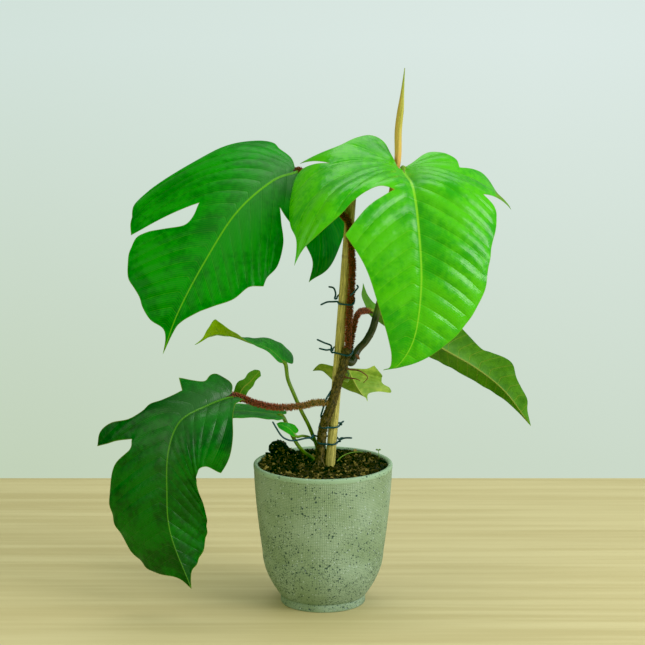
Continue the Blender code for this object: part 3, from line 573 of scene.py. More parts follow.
def make_pot():
    """The turned pot, with a plain band under the rim and a fine groove over the foot."""
    lip = POT_HEIGHT - RIM_ROUND
    sides = 224
    outer_z = np.linspace(lip - 1.0, FOOT_HEIGHT + 0.3, 150)
    outer_r = wall_radius(outer_z)
    outer_r = outer_r - 0.35 * ease((POT_HEIGHT - 4.4 - outer_z) / 0.8)
    inner_z = np.linspace(POT_FLOOR + 3.0, lip - 1.0, 60)
    profile = [arc(RIM_RADIUS - RIM_ROUND, lip, RIM_ROUND, 90, 0, 9),
               np.stack([outer_r, outer_z], -1),
               np.array([(FOOT_RADIUS - 0.7, FOOT_HEIGHT - 0.5), (FOOT_RADIUS - 0.9, FOOT_HEIGHT - 1.1),
                         (FOOT_RADIUS - 0.2, FOOT_HEIGHT - 1.9), (FOOT_RADIUS, FOOT_HEIGHT - 2.8),
                         (FOOT_RADIUS, 4.0), (FOOT_RADIUS, 1.4)]),
               arc(FOOT_RADIUS - 1.2, 1.2, 1.2, 0, -90, 6),
               np.array([(FOOT_RADIUS - 5.0, 0.0), (FOOT_RADIUS - 5.6, 0.6), (20.0, 0.6), (0.05, 0.6),
                         (0.05, POT_FLOOR), (20.0, POT_FLOOR),
                         (float(inner_radius(POT_FLOOR)) - 3.0, POT_FLOOR)]),
               np.stack([inner_radius(inner_z), inner_z], -1),
               arc(RIM_RADIUS - POT_WALL + RIM_ROUND, lip, RIM_ROUND, 180, 90, 9)]
    profile = np.vstack(profile)
    turn = turns(sides)
    points = np.stack([profile[:, None, 0] * np.cos(turn), profile[:, None, 0] * np.sin(turn),
                       np.broadcast_to(profile[:, None, 1], (len(profile), sides))], -1)
    rows = len(profile)
    pile = Pile()
    ring = strip(rows, sides)[:, ::-1]
    close = strip(2, sides)
    close = np.where(close < sides, close + (rows - 1) * sides, close - sides)[:, ::-1]
    pile.add(points, ring, close)
    show(pile.build("pot_glazed", "ceramic", sharp=38), "ceramic", "pot")


def soil_height(x, y):
    """Height of the mix above its middle: small bumps, the mound behind on the left, and the rise."""
    reach, edge = np.hypot(x, y), float(inner_radius(SOIL_TOP)) - SOIL_CLEARANCE
    bump = np.sin(x * 0.31 + 1.0) * np.cos(y * 0.27) + 0.6 * np.sin(x * 0.17 - y * 0.23)
    mound = np.exp(-((x - MOUND_AT[0]) ** 2 + (y - MOUND_AT[1]) ** 2) / (2 * MOUND_SPREAD ** 2))
    fade = np.clip((edge - reach) / 6.0, 0, 1)
    rise = ease((reach - SOIL_FLAT_RADIUS) / (edge - SOIL_FLAT_RADIUS))
    return (SOIL_BUMP * bump * 0.6 + MOUND_HEIGHT * mound) * fade + SOIL_RISE * rise


def rough_ground(x, y):
    """Crumbs of the mix on top of its broad shape."""
    total = 0.0
    for scale, size, turn in ((0.45, 0.45, 0.3), (0.83, 0.40, 1.1), (1.31, 0.32, 2.0), (2.1, 0.22, 2.9)):
        a = x * math.cos(turn) + y * math.sin(turn)
        b = y * math.cos(turn) - x * math.sin(turn)
        total = total + (size * np.sin(a * scale + 1.7 * np.sin(b * scale * 0.6))
                         * np.sin(b * scale * 1.1 + 2.0))
    return total


def make_soil():
    """The top of the mix, with crumbs, bark chips and fibres lying on it."""
    edge = float(inner_radius(SOIL_TOP)) + 0.3
    rings, sides, depth = 64, 200, 14.0
    radius = edge * np.linspace(0, 1, rings)[1:]
    turn = turns(sides)
    x, y = radius[:, None] * np.cos(turn), radius[:, None] * np.sin(turn)
    fade = np.clip((edge - radius[:, None]) / 6.0, 0, 1)
    z = SOIL_TOP + soil_height(x, y) + rough_ground(x, y) * np.clip(fade + 0.3, 0, 1)
    top = np.stack([x, y, z], -1)
    low_edge = edge - 1.5
    skirt = np.stack([low_edge * np.cos(turn), low_edge * np.sin(turn), np.full(sides, SOIL_TOP - depth)], -1)
    pile = Pile()
    points = np.vstack([top.reshape(-1, 3), skirt, [[0, 0, SOIL_TOP + float(soil_height(0.0, 0.0))]],
                        [[0, 0, SOIL_TOP - depth]]])
    rows = rings - 1
    first = np.arange(sides)
    centre = np.stack([first, np.roll(first, -1), np.full(sides, (rows + 1) * sides)], -1)
    last = first + rows * sides
    base = np.stack([np.roll(last, -1), last, np.full(sides, (rows + 1) * sides + 1)], -1)
    pile.add(points, strip(rows + 1, sides)[:, ::-1], centre, base, chip=0.0, tone=0.3)
    random = np.random.default_rng(11)
    reach = (edge - 2.5) * np.sqrt(random.random(CHIPS))
    way = random.random(CHIPS) * 2 * math.pi
    reach[:MOUND_CHIPS] = np.abs(random.normal(0, 10, MOUND_CHIPS))
    cx, cy = reach * np.cos(way), reach * np.sin(way)
    cx[:MOUND_CHIPS] += MOUND_AT[0]
    cy[:MOUND_CHIPS] += MOUND_AT[1]
    inside = np.hypot(cx, cy) < edge - 2.5
    cx, cy = cx[inside], cy[inside]
    count = len(cx)
    sizes = np.stack([1.0 + 3.4 * random.random(count) ** 2.2, 0.7 + 1.4 * random.random(count) ** 1.5,
                      0.40 + 0.70 * random.random(count)], -1)
    corner = np.array([(a, b, c) for a in (-1, 1) for b in (-1, 1) for c in (-1, 1)], float)
    box = corner[None] * sizes[:, None] * (0.72 + 0.5 * random.random((count, 8, 3)))
    axis = unit(random.normal(0, 1, (count, 3)) * (0.35, 0.35, 1.0))
    spin = random.random(count) * 2 * math.pi
    cross = np.cross(axis[:, None], box)
    dot = (axis[:, None] * box).sum(-1, keepdims=True)
    turned = (box * np.cos(spin)[:, None, None] + cross * np.sin(spin)[:, None, None]
              + axis[:, None] * dot * (1 - np.cos(spin))[:, None, None])
    cz = SOIL_TOP + soil_height(cx, cy) + rough_ground(cx, cy) + 0.15 + 0.7 * random.random(count)
    points = turned + np.stack([cx, cy, cz], -1)[:, None]
    faces = np.array([(0, 1, 3, 2), (4, 6, 7, 5), (0, 4, 5, 1), (2, 3, 7, 6), (0, 2, 6, 4), (1, 5, 7, 3)])
    start = np.arange(count)[:, None, None] * 8
    pile.add(points, (start + faces).reshape(-1, 4), chip=1.0, tone=np.repeat(random.random(count), 8))
    for _ in range(FIBRES):
        a, r = random.random() * 2 * math.pi, (edge - 9) * math.sqrt(random.random())
        x0, y0 = r * math.cos(a), r * math.sin(a)
        heading, curl = random.random() * 2 * math.pi, random.normal(0, 0.25)
        route = []
        for step in range(5):
            route.append((x0, y0, SOIL_TOP + float(soil_height(x0, y0)) + 0.9 + random.random() * 1.3))
            heading += curl
            x0 += 2.0 * math.cos(heading)
            y0 += 2.0 * math.sin(heading)
        swept(pile, smooth(route, 1.2), 0.12 + 0.2 * random.random(), 4, chip=1.0,
              tone=0.35 + 0.6 * random.random())
    show(pile.build("soil_surface", "soil", smooth_shade=False), "soil", "soil")


def above(points):
    return [(x, y, z + SOIL_TOP) for x, y, z in points]


# ------------------------------------------------------------------ cane and stems

def cane_axis(height):
    return np.array((CANE_FOOT[0] + CANE_LEAN[0] * height, CANE_FOOT[1] + CANE_LEAN[1] * height, height))


def make_cane():
    """Cane with slight ridges, faint joints and a clean cut top."""
    rows, columns = 260, 48
    heights = np.linspace(-CANE_IN_SOIL + 1.0, CANE_TOP, rows)
    line = np.array([cane_axis(h) for h in heights]) + UP * SOIL_TOP
    turn = turns(columns)
    ring = sum(np.exp(-((heights - h) / 1.1) ** 2) for h in (-30.0, 92.0, 214.0))
    ridge = 0.10 * np.cos(turn * 9 + 1)[None] + 0.06 * np.cos(turn * 17)[None]
    flat = -0.35 * np.exp(-((np.mod(turn - 5.2, 2 * math.pi) - math.pi) / 0.5) ** 2)[None]
    radius = CANE_RADIUS - 0.30 + ridge + flat + 0.22 * ring[:, None]
    radius[-1] -= 0.5
    pile = Pile()
    swept(pile, line, radius, columns, ring=np.concatenate([np.repeat(ring, columns), [0, 0]]))
    show(pile.build("bamboo_cane_dry", "bamboo", sharp=50), "bamboo", "bamboo_cane")


STEM_TURNS = [(0.9, 168), (14, 174), (26, 180), (38, 190), (50, 218), (62, 245), (76, 262), (89, 277),
              (100, 294), (113, 308), (121, 318)]
STEM_JOINTS = (18, 33, 51, 68, 81, 95, 110)
STALK_TURNS = [(150, 324), (192, 322), (216, 303), (247, 268)]
STALK_OFF_CANE = 1.0
SHOOT_ROUTE = [(34.5, 13, 118.5), (43, 17, 127.5), (49.3, 20.5, 138.5), (53, 23, 151), (57.5, 25, 168),
               (61, 25, 184)]
SPEAR_ROUTE = [(60.5, 29.5, 185), (61, 31.5, 190), (63, 33, 227), (67, 34, 270), (73.5, 32, 304),
               (74, 28, 336), (76.5, 22, 362), (79.5, 15, 398)]


def beside_cane(height, degrees, radius, stand_off=GAP):
    reach, turn = CANE_RADIUS + radius + stand_off, math.radians(degrees)
    return cane_axis(height) + np.array((math.cos(turn) * reach, math.sin(turn) * reach, 0))


STEM_LINE = smooth([beside_cane(h, a, STEM_RADIUS, GAP + 0.1) for h, a in STEM_TURNS], 1.0)


def stem_at(height):
    return STEM_LINE[np.argmin(np.abs(STEM_LINE[:, 2] - height))]


def off_stem(height, direction, clearance=-2.0):
    """Two points that start a stalk inside the stem's skin and point straight out of it."""
    way = unit(stem_at(height + 4) - stem_at(height - 4))
    out = np.array(direction, float)
    out = unit(out - way * out.dot(way))
    return [stem_at(height) + out * (STEM_RADIUS + clearance), stem_at(height) + out * (STEM_RADIUS + 3.4)]


def off_soil(x, y, lean=(0.0, 0.0)):
    foot = np.array((x, y, float(soil_height(x, y)) - 1.0))
    return [foot, foot + np.array((lean[0], lean[1], 5.7))]


def make_main_stem():
    """Scarred stem with swollen joints and roots flaring at its foot."""
    line = smooth(above(STEM_LINE[::6]) + [tuple(stem_at(121) + (0.3, 0, SOIL_TOP + 2.0))], 0.8)
    rows, columns = len(line), 36
    height = line[:, 2] - SOIL_TOP
    turn = turns(columns)
    knots = sum(np.exp(-((height - h) / 2.2) ** 2) for h in STEM_JOINTS)
    groove = sum(np.exp(-((height - h - 3.5) / 1.0) ** 2) for h in STEM_JOINTS)
    flare = np.exp(-np.clip(height, 0, None) / 9.0)
    wave = (0.24 * np.sin(height[:, None] * 0.9 + 3 * turn[None])
            + 0.18 * np.sin(height[:, None] * 2.3 - 2 * turn[None])
            + 0.12 * np.sin(7 * turn[None] + height[:, None] * 0.35))
    radius = 4.35 + 0.35 * knots[:, None] - 0.45 * groove[:, None] + wave
    radius = radius + flare[:, None] * (0.8 + 0.9 * np.cos(turn * 5)[None])
    radius[-3:] *= np.array([0.92, 0.75, 0.45])[:, None]
    pile = Pile()
    swept(pile, line, radius, columns)
    bristles(pile, line, 4.3, 2600, 1.3, 5, 0.32, 0.06, 1.0, 0.5)
    random = np.random.default_rng(3)
    foot = stem_at(2)
    for k in range(9):
        turn = k * 0.7 + random.random() * 0.4
        reach = 6 + 5 * random.random()
        out = np.array((math.cos(turn), math.sin(turn), 0))
        start = foot + out * 3.2 + UP * (6 + 4 * random.random())
        route = [start, foot + out * 5.0 + UP * 3.5, foot + out * reach + UP * 0.6,
                 foot + out * (reach + 4) - UP * 2.0]
        swept(pile, smooth(above(route), 1.0), np.linspace(1.1, 0.7, len(smooth(above(route), 1.0))), 8)
    show(pile.build("main_stem_bark", "bark"), "bark", "main_stem")


def make_shoot():
    """Young smooth side stem with joint rings, and the bud in the angle where it leaves the stem."""
    route = [tuple(p) for p in off_stem(110, (0.86, 0.35, 0.25))] + SHOOT_ROUTE
    line = smooth(above(route), 0.8)
    run = run_of(line)
    rings = sum(np.exp(-((run - at) / 0.8) ** 2) for at in (9.0, 40.0, run[-1] - 5))
    radius = SHOOT_RADIUS - 0.25 + 0.25 * rings
    radius[-4:] *= np.array([0.97, 0.9, 0.75, 0.5])
    show_bar("shoot_skin", "young_stem", "young_stem", line, radius, 28, "shoot")
    line = smooth(above([(31, 8, 114.5), (34, 7, 113), (36.5, 6.5, 110.5)]), 0.4)
    show_bar("side_bud", "root", "root", line, 2.3 * np.sin(np.linspace(0.9, math.pi - 0.15, len(line))), 14)


def make_spear():
    """The new leaf, rolled up: a tapering roll with its free edge lapped round it."""
    line = smooth(above(SPEAR_ROUTE), 0.9)
    line[0] -= UP * 1.0
    rows, columns = len(line), 40
    t = np.linspace(0, 1, rows)
    swell = np.exp(-((t - 0.68) / 0.22) ** 2)
    radius = 3.4 * np.maximum(0.12, (0.72 + 0.42 * swell) * np.minimum(1.0, (1.0 - t) / 0.22 + 0.12))
    _, sides, ups = transport(line)
    turn = turns(columns)
    ring = np.cos(turn)[None, :, None] * sides[:, None] + np.sin(turn)[None, :, None] * ups[:, None]
    lap = np.mod(turn[None] - 2.0 - 2.2 * t[:, None], 2 * math.pi) / (2 * math.pi)
    shape = radius[:, None] * (0.99 - 0.13 * lap * ease(t[:, None] * 3))
    pile = Pile()
    swept(pile, line, shape, columns,
          right=np.concatenate([(ring[..., 0] - 0.35 * ring[..., 1]).ravel(), [0, 0]]))
    show(pile.build("new_leaf_rolled", "new_leaf", sharp=60), "new_leaf", "new_leaf")


# ------------------------------------------------------------------ leaf blades

class Blade:
    """A leaf blade drawn flat and bent into place, as in the CAD model.

    u runs along the midrib from the stalk, v across it. Each half has ribs that leave the midrib
    in the direction out and curl towards down, by a number of degrees per 100 mm, given at the
    base and at the tip. Side veins leave the midrib every spacing, with VEIN_SLOPE mm of u for each
    mm of v, and behind the base they fan out by FAN_STEP degrees.
    """

    FAN_STEP, VEIN_SLOPE = 17.0, 0.55

    def __init__(self, midrib, left, right, outline, blend=(1.0, 1.0), spacing=17.0, pleat=1.1,
                 ruffle=1.0, wave=1.4, seed=0.0):
        self.line = smooth(midrib, 0.5)
        along = run_of(self.line)
        base = np.argmin(np.linalg.norm(self.line - np.array(midrib[1]), axis=1))
        self.along = along - along[base]
        self.length = self.along[-1]
        self.sides, self.blend, self.outline = (left, right), blend, outline
        self.spacing, self.pleat, self.ruffle, self.wave, self.seed = spacing, pleat, ruffle, wave, seed

    def midrib(self, u):
        point = np.stack([np.interp(u, self.along, self.line[:, k]) for k in range(3)], -1)
        before = np.minimum(u - self.along[0], 0)[..., None]
        after = np.maximum(u - self.along[-1], 0)[..., None]
        return (point + before * unit(self.line[1] - self.line[0])
                + after * unit(self.line[-1] - self.line[-2]))

    def place(self, u, v):
        u, v = (np.atleast_1d(np.asarray(a, float)) for a in (u, v))
        found = np.zeros(u.shape + (3,))
        for side in (0, 1):
            pick = (v > 0) == bool(side)
            (out_a, down_a, curl_a), (out_b, down_b, curl_b) = self.sides[side]
            share = ease(u[pick] / (self.length * self.blend[side]))[:, None]
            out = np.array(out_a) * (1 - share) + np.array(out_b) * share
            down = np.array(down_a) * (1 - share) + np.array(down_b) * share
            curl = np.radians(curl_a * (1 - share) + curl_b * share) / 100
            turn = curl * np.abs(v[pick])[:, None]
            found[pick] = (self.midrib(u[pick]) + out * (np.sin(turn) / curl)
                           + down * ((1 - np.cos(turn)) / curl))
        return found

    def normal(self, u, v):
        """Direction out of the upper side, rounded over the fold at the midrib."""
        def plain(v):
            along = self.place(u + 0.7, v) - self.place(u - 0.7, v)
            return unit(np.cross(along, self.place(u, v + 0.3) - self.place(u, v - 0.3)))
        share = np.clip((v + 3) / 6, 0, 1)[:, None]
        return unit(plain(np.where(v > -3, np.maximum(v, 3), v)) * share
                    + plain(np.where(v < 3, np.minimum(v, -3), v)) * (1 - share))

    def edge(self, step):
        points = self.outline
        sharp = [i for i, p in enumerate(points) if len(p) > 2]
        ring = []
        for a, b in zip(sharp, sharp[1:] + [sharp[0] + len(points)]):
            run = [(*points[i % len(points)][:2], 0.0) for i in range(a, b + 1)]
            ring.append(smooth(run, step)[:-1, :2])
        return np.vstack(ring)

    def veins(self, u, v):
        """Number of the side vein through each spot, counted along the midrib and then round the base."""
        across = np.abs(v)
        ahead = u - across ** 2 * 0.0022
        leaves = ahead - across * self.VEIN_SLOPE
        turn = np.arctan2(across, ahead) - math.atan2(1.0, self.VEIN_SLOPE)
        count = np.where(leaves > 0, leaves / self.spacing, -turn / math.radians(self.FAN_STEP))
        return count + 0.45 * ease(across / 10) * (v < 0) + self.seed

    def relief(self, u, v, margin):
        """Height of the pleats between the side veins, the broad waves and the ruffled margin."""
        across, vein = np.abs(v), self.veins(u, v)
        panel = np.abs(np.sin(math.pi * vein)) ** 0.85
        height = self.pleat * (panel - 0.62) * ease(across / 16) * ease((margin + 2) / 14)
        ruffle = np.sin(math.pi * vein + 0.9 * np.sin(vein * 1.3))
        height += self.ruffle * ruffle * np.exp(-margin / 7) * ease(across / 12)
        height += self.wave * ease(across / 26) * (np.sin(u / 21 + v / 33 + self.seed)
                                                   + 0.6 * np.sin(v / 17 - u / 41 + 2 * self.seed))
        return height


def distance_to(points, ring):
    """Signed distance of flat points to a closed ring, above zero inside."""
    a, b = ring, np.roll(ring, -1, axis=0)
    span = b - a
    square = np.maximum((span ** 2).sum(1), 1e-9)
    found = np.zeros(len(points))
    for start in range(0, len(points), 1500):
        p = points[start:start + 1500, None]
        t = np.clip(((p - a) * span).sum(-1) / square, 0, 1)
        near = np.sqrt((((p - a) - span * t[..., None]) ** 2).sum(-1)).min(1)
        crosses = (b[:, 1] > p[..., 1]) != (a[:, 1] > p[..., 1])
        rise = np.where(span[:, 1] == 0, 1e-9, span[:, 1])
        hits = crosses & (p[..., 0] < span[:, 0] * (p[..., 1] - a[:, 1]) / rise + a[:, 0])
        found[start:start + 1500] = np.where(hits.sum(1) % 2 == 1, near, -near)
    return found


def flat_mesh(ring, spacing):
    """Triangles that fill the outline, finer towards it, with rows along the midrib."""
    low, high = ring.min(0), ring.max(0)
    rows = int(np.abs(ring[:, 1]).max() / (spacing * 0.87)) + 1
    grid = []
    for row in range(-rows, rows + 1):
        u = np.arange(low[0], high[0] + spacing, spacing) + spacing * 0.5 * (row % 2)
        grid.append(np.stack([u, np.full(len(u), row * spacing * 0.87)], -1))
    grid = np.vstack(grid)
    grid = grid[distance_to(grid, ring) > spacing * 0.45]
    coords = [Vector(p) for p in np.vstack([ring, grid])]
    edges = [(i, (i + 1) % len(ring)) for i in range(len(ring))]
    found = delaunay_2d_cdt(coords, edges, [list(range(len(ring)))], 1, 1e-5)
    return np.array([tuple(p) for p in found[0]]), np.array(found[2])


def make_blade(name, node, kind, slot, blade, spacing=1.7, thickness=0.5, rib=1.5, rolled=None):
    """A closed thin blade with sunken veins, a rib under the midrib and a wavy margin.

    rolled gives the part of u and the least v where the upper side takes the underside's colour.
    """
    ring = blade.edge(spacing)
    flat, faces = flat_mesh(ring, spacing)
    a, b, c = (flat[faces[:, k]] for k in range(3))
    turned = np.cross(b - a, c - a) < 0
    faces[turned] = faces[turned][:, ::-1]
    u, v = flat[:, 0], flat[:, 1]
    margin = np.maximum(distance_to(flat, ring), 0)
    normal = blade.normal(u, v)
    ahead = ease((u + 3) / 4)
    rest = np.clip(1 - u / blade.length, 0, 1)
    width = (0.55 + 1.25 * rest) * rib / 1.5
    valley = 0.9 * rib / 1.5 * np.exp(-(v / 4.0) ** 2) * ahead * (0.3 + 0.7 * rest)
    sheet = blade.place(u, v) + normal * (blade.relief(u, v, margin) - valley)[:, None] + UP * SOIL_TOP
    half = thickness * (0.22 + 0.28 * ease(margin / 3))
    raised = 0.35 * np.exp(-(v / width) ** 2) * ahead
    below = rib * (0.25 + 0.75 * rest) * np.exp(-(v / (1.25 * width)) ** 2) * ahead * ease((margin + 1) / 4)
    top = sheet + normal * (half + raised)[:, None]
    bottom = sheet - normal * (half + below)[:, None]
    pairs = np.sort(np.vstack([faces[:, [0, 1]], faces[:, [1, 2]], faces[:, [2, 0]]]), axis=1)
    directed = np.vstack([faces[:, [0, 1]], faces[:, [1, 2]], faces[:, [2, 0]]])
    _, index, times = np.unique(pairs, axis=0, return_index=True, return_counts=True)
    rim = directed[index[times == 1]]
    count = len(flat)
    wall = np.stack([rim[:, 1], rim[:, 0], rim[:, 0] + count, rim[:, 1] + count], -1)
    values = {"vein": blade.veins(u, v), "margin": margin,
              "rib": np.where(u > -3, np.abs(v) / width, 9.0),
              "base": np.exp(-(np.clip(u, 0, None) / (0.42 * blade.length)) ** 2) * np.exp(-(v / 30) ** 2)}
    front = np.zeros(count)
    if rolled:
        front[(u > rolled[0]) & (u < rolled[1]) & (v > rolled[2])] = 1.0
    pile = Pile()
    pile.add(np.vstack([top, bottom]), faces, faces[:, ::-1] + count, wall,
             under=np.concatenate([front, np.ones(count)]), **{k: np.tile(x, 2) for k, x in values.items()})
    show(pile.build(name, kind, sharp=62), slot, node)


UPPER_LEFT = Blade(
    midrib=[(-12, 86, 296), (-27, 66, 291), (-51, 46, 284), (-86, 24, 255), (-117, 6, 208),
            (-143, -2, 159), (-159, 0, 116)],
    left=(((-0.35, 0.70, 0.58), (-0.6, -0.3, -0.75), 42), ((-0.88, 0.25, 0.38), (-0.1, 0.3, -0.9), 28)),
    right=(((0.40, -0.50, -0.72), (-0.3, 0.6, -0.4), 40), ((0.80, -0.30, -0.50), (-0.2, 0.3, -0.9), 30)),
    outline=[(0, -3, 1), (-6, -22), (-4, -44), (-8, -62), (2, -84), (24, -104), (48, -124), (66, -142),
             (77, -152, 1), (93, -152), (118, -130), (139, -109, 1), (132, -97), (114, -70), (98, -48, 1),
             (122, -47), (136, -88), (147, -97), (171, -82), (185, -68), (197, -48), (207, -38),
             (216, -24), (219, -9), (227, -3), (243, 0, 1), (218, 3), (204, 7), (182, 21), (145, 48),
             (118, 60), (97, 78, 1), (87, 77), (66, 80), (49, 66), (42, 45), (37, 30, 1), (33, 50),
             (20, 85), (15, 107), (23, 129, 1), (-8, 121), (-30, 99), (-44, 80), (-52, 60),
             (-46, 36), (-30, 16), (-12, 5)],
    wave=0.8, ruffle=0.7, seed=0.3)

UPPER_RIGHT = Blade(
    midrib=[(79, 60, 324), (79, 15, 299), (87, -22, 285), (92, -45, 245), (94, -58, 196),
            (88, -62, 147), (73, -60, 119), (58, -54, 112)],
    left=(((-0.95, -0.38, 0.235), (0.0, 0.15, -1.0), 45), ((-0.97, 0.0, 0.0), (0.0, 0.6, -0.5), 30)),
    right=(((0.97, -0.10, 0.20), (0.2, 0.75, -0.62), 67), ((0.98, 0.0, 0.06), (0.0, 0.9, -0.2), 40)),
    outline=[(0, -5, 1), (-24, -12), (-44, -19), (-54, -32), (-54, -50), (-51, -70), (-54, -90),
             (-62, -110), (-74, -128, 1), (-54, -108), (-30, -82, 1), (-46, -106), (-58, -126),
             (-57, -140), (-36, -146), (-5, -147), (32, -150), (68, -156, 1), (65, -138), (66, -112),
             (61, -84), (52, -66), (45, -50), (41, -34), (45, -20, 1), (52, -33), (62, -52),
             (82, -78, 1), (115, -59), (154, -43), (188, -27), (208, -15), (224, -6), (238, 0, 1),
             (228, 6), (212, 26), (184, 47), (151, 64), (128, 68), (100, 75), (72, 86), (56, 86),
             (44, 74, 1), (40, 92), (40, 108), (42, 124, 1), (22, 122), (2, 110), (-8, 92), (-8, 76),
             (-3, 58, 1), (-16, 56), (-24, 46), (-26, 36), (-23, 24), (-8, 9)],
    pleat=1.6, ruffle=0.5, wave=1.2, seed=0.8)

LOWER_LEFT = Blade(
    midrib=[(-72, -8, 74), (-89, -14, 77), (-114, -28, 71), (-139, -42, 59), (-150, -54, 33),
            (-152, -58, -6), (-149, -58, -50), (-130, -50, -108)],
    left=(((-0.42, 0.35, 0.80), (-0.6, 0.1, -0.8), 30), ((-0.86, 0.42, 0.12), (-0.1, 0.6, -0.7), 28)),
    right=(((0.35, -0.75, 0.10), (0.15, -0.1, -0.95), 150), ((0.80, 0.45, -0.10), (0.1, 0.8, -0.3), 50)),
    blend=(0.5, 1.0),
    outline=[(0, -3, 1), (-5, -14), (0, -26), (9, -30), (18, -26), (26, -33), (33, -45, 1), (39, -29, 1),
             (47, -31), (56, -36), (63, -44), (70, -47), (78, -58), (83, -78), (90, -88), (100, -88, 1),
             (98, -75), (95, -64), (92, -47, 1), (100, -46), (115, -62), (138, -69), (168, -67),
             (192, -61), (214, -54), (229, -40), (228, -12), (238, 0, 1), (221, 7), (206, 23),
             (188, 39), (166, 53), (145, 60), (122, 61), (104, 58, 1), (90, 62), (74, 68), (58, 78),
             (37, 93, 1), (27, 76), (20, 56), (14, 36), (4, 20), (-8, 14)],
    spacing=15.0, pleat=0.9, seed=1.2, wave=1.0)

REAR_RIGHT = Blade(
    midrib=[(30, 50, 160), (48, 62, 151), (85, 84, 131), (125, 100, 103), (160, 108, 81),
            (191, 110, 55), (218, 108, 19)],
    left=(((-0.15, 0.25, 0.95), (0.3, -0.9, -0.1), 45), ((0.72, 0.20, 0.62), (0.1, -0.9, -0.4), 40)),
    right=(((-0.10, 0.75, -0.60), (0.0, 0.5, 0.85), 25), ((-0.62, 0.55, -0.55), (-0.2, -0.2, -0.9), 20)),
    outline=[(-6, -2, 1), (-9, -11), (-5, -27, 1), (0, -15), (4, -11), (12, -11), (30, -34), (60, -46),
             (90, -46), (112, -34), (134, -24), (144, -26), (159, -31), (168, -30), (179, -21),
             (190, -17), (203, -14), (212, -7), (227, 0, 1), (208, 3), (186, 9), (166, 15), (140, 21),
             (110, 25), (80, 30), (50, 30), (26, 24), (8, 16), (-4, 8)],
    spacing=13.0, pleat=0.5, ruffle=0.4, wave=0.5, seed=2.0)

REAR_LOW = Blade(
    midrib=[(21, 58, 100), (25, 62, 90), (30, 68, 79), (36, 72, 67), (45, 74, 54)],
    left=(((0.75, 0.5, 0.0), (0.3, 0.3, -0.8), 60), ((0.8, 0.5, 0.3), (0.0, 0.5, -0.8), 40)),
    right=(((-0.85, 0.3, 0.10), (0.0, 0.3, -0.9), 50), ((-0.8, 0.5, 0.1), (0.0, 0.5, -0.8), 40)),
    outline=[(0, 0, 1), (1, -23), (-6, -38, 1), (8, -42), (29, -31), (40, -33, 1), (46, -30), (40, -18),
             (38, -6), (45, 0, 1), (38, 1), (31, 22), (19, 29), (7, 33), (4, 45, 1), (-1, 38), (-4, 30),
             (0, 16)],
    spacing=8.0, pleat=0.35, ruffle=0.3, wave=0.4, seed=0.5)

LOWER_LOBE = Blade(
    midrib=[(-86, 0, 70), (-84.5, 0.5, 74), (-79, 2, 83), (-73, 3, 88), (-65, 4, 97)],
    left=(((-0.62, 0.2, 0.60), (0.2, 0.7, 0.1), 50), ((-0.60, 0.3, 0.65), (0.2, 0.8, 0.0), 50)),
    right=(((0.66, -0.1, -0.60), (0.1, 0.6, 0.2), 40), ((0.62, 0.1, -0.62), (0.1, 0.7, 0.1), 40)),
    outline=[(-2, 0, 1), (-3, -5), (3, -8), (10, -9), (17, -7), (24, -8), (31, -5, 1), (34, 0), (31, 5, 1),
             (24, 4), (18, 6), (10, 7), (2, 8), (-3, 5)],
    spacing=6.0, pleat=0.25, ruffle=0.35, wave=0.3, seed=0.6)

SMALL_UPPER = Blade(
    midrib=[(-32, 12, 100), (-39, 8, 108), (-54, 4, 122), (-72, 0, 129), (-89, -4, 136),
            (-107, -8, 139), (-125, -10, 129)],
    left=(((0.1, 0.9, 0.32), (0.0, 0.3, -0.95), 40), ((-0.1, 0.6, -0.3), (0.0, 0.3, -0.9), 30)),
    right=(((-0.1, -0.9, -0.30), (0.0, 0.3, -0.95), 30), ((0.3, -0.6, 0.75), (0.0, 0.5, 0.5), 40)),
    outline=[(0, 0, 1), (-11, -10), (-12, -20), (-8, -30), (4, -34), (16, -30), (30, -28), (44, -25),
             (58, -22), (72, -16), (84, -8), (101, 1, 1), (93, 5), (90, 18), (85, 27), (78, 22),
             (66, 16), (52, 14), (34, 10), (16, 10), (4, 8)],
    spacing=9.0, pleat=0.35, ruffle=0.3, wave=0.5, seed=0.9)

LOW_LONG = Blade(
    midrib=[(-33, 12, 50), (-44, 12, 53), (-68, 12, 56), (-92, 10, 57), (-122, 8, 54), (-147, 6, 45)],
    left=(((0.0, 0.95, 0.12), (0.0, 0.3, -0.95), 35), ((0.0, 0.95, 0.1), (0.0, 0.3, -0.9), 30)),
    right=(((0.0, -0.95, -0.02), (0.0, 0.2, -0.95), 25), ((0.0, -0.95, 0.0), (0.0, 0.2, -0.9), 30)),
    outline=[(0, 0, 1), (-7, -8), (-6, -16), (4, -22), (20, -26), (45, -28), (70, -23), (90, -11),
             (105, 0, 1), (90, 12), (70, 22), (48, 25), (28, 22), (10, 22), (0, 20), (-6, 10)],
    spacing=9.0, pleat=0.35, ruffle=0.3, wave=0.5, seed=1.4)

SMALL_CURLED = Blade(
    midrib=[(-23, 2, 31), (-28, 0, 36), (-33, -4, 42), (-39, -6, 46), (-45, -7, 48)],
    left=(((0.3, 0.7, 0.45), (0.0, 0.3, -0.9), 60), ((0.3, 0.5, 0.5), (0.0, 0.5, -0.8), 40)),
    right=(((-0.1, -0.75, -0.45), (-0.3, 0.3, -0.8), 60), ((-0.1, -0.7, -0.5), (0.0, 0.5, -0.8), 40)),
    outline=[(0, 0, 1), (-2, -5), (-1, -9), (6, -10), (15, -6), (21, -4), (24, 0, 1), (20, 6), (13, 8),
             (5, 7), (-1, 4)],
    spacing=5.0, pleat=0.12, ruffle=0.1, wave=0.2, seed=0.2)


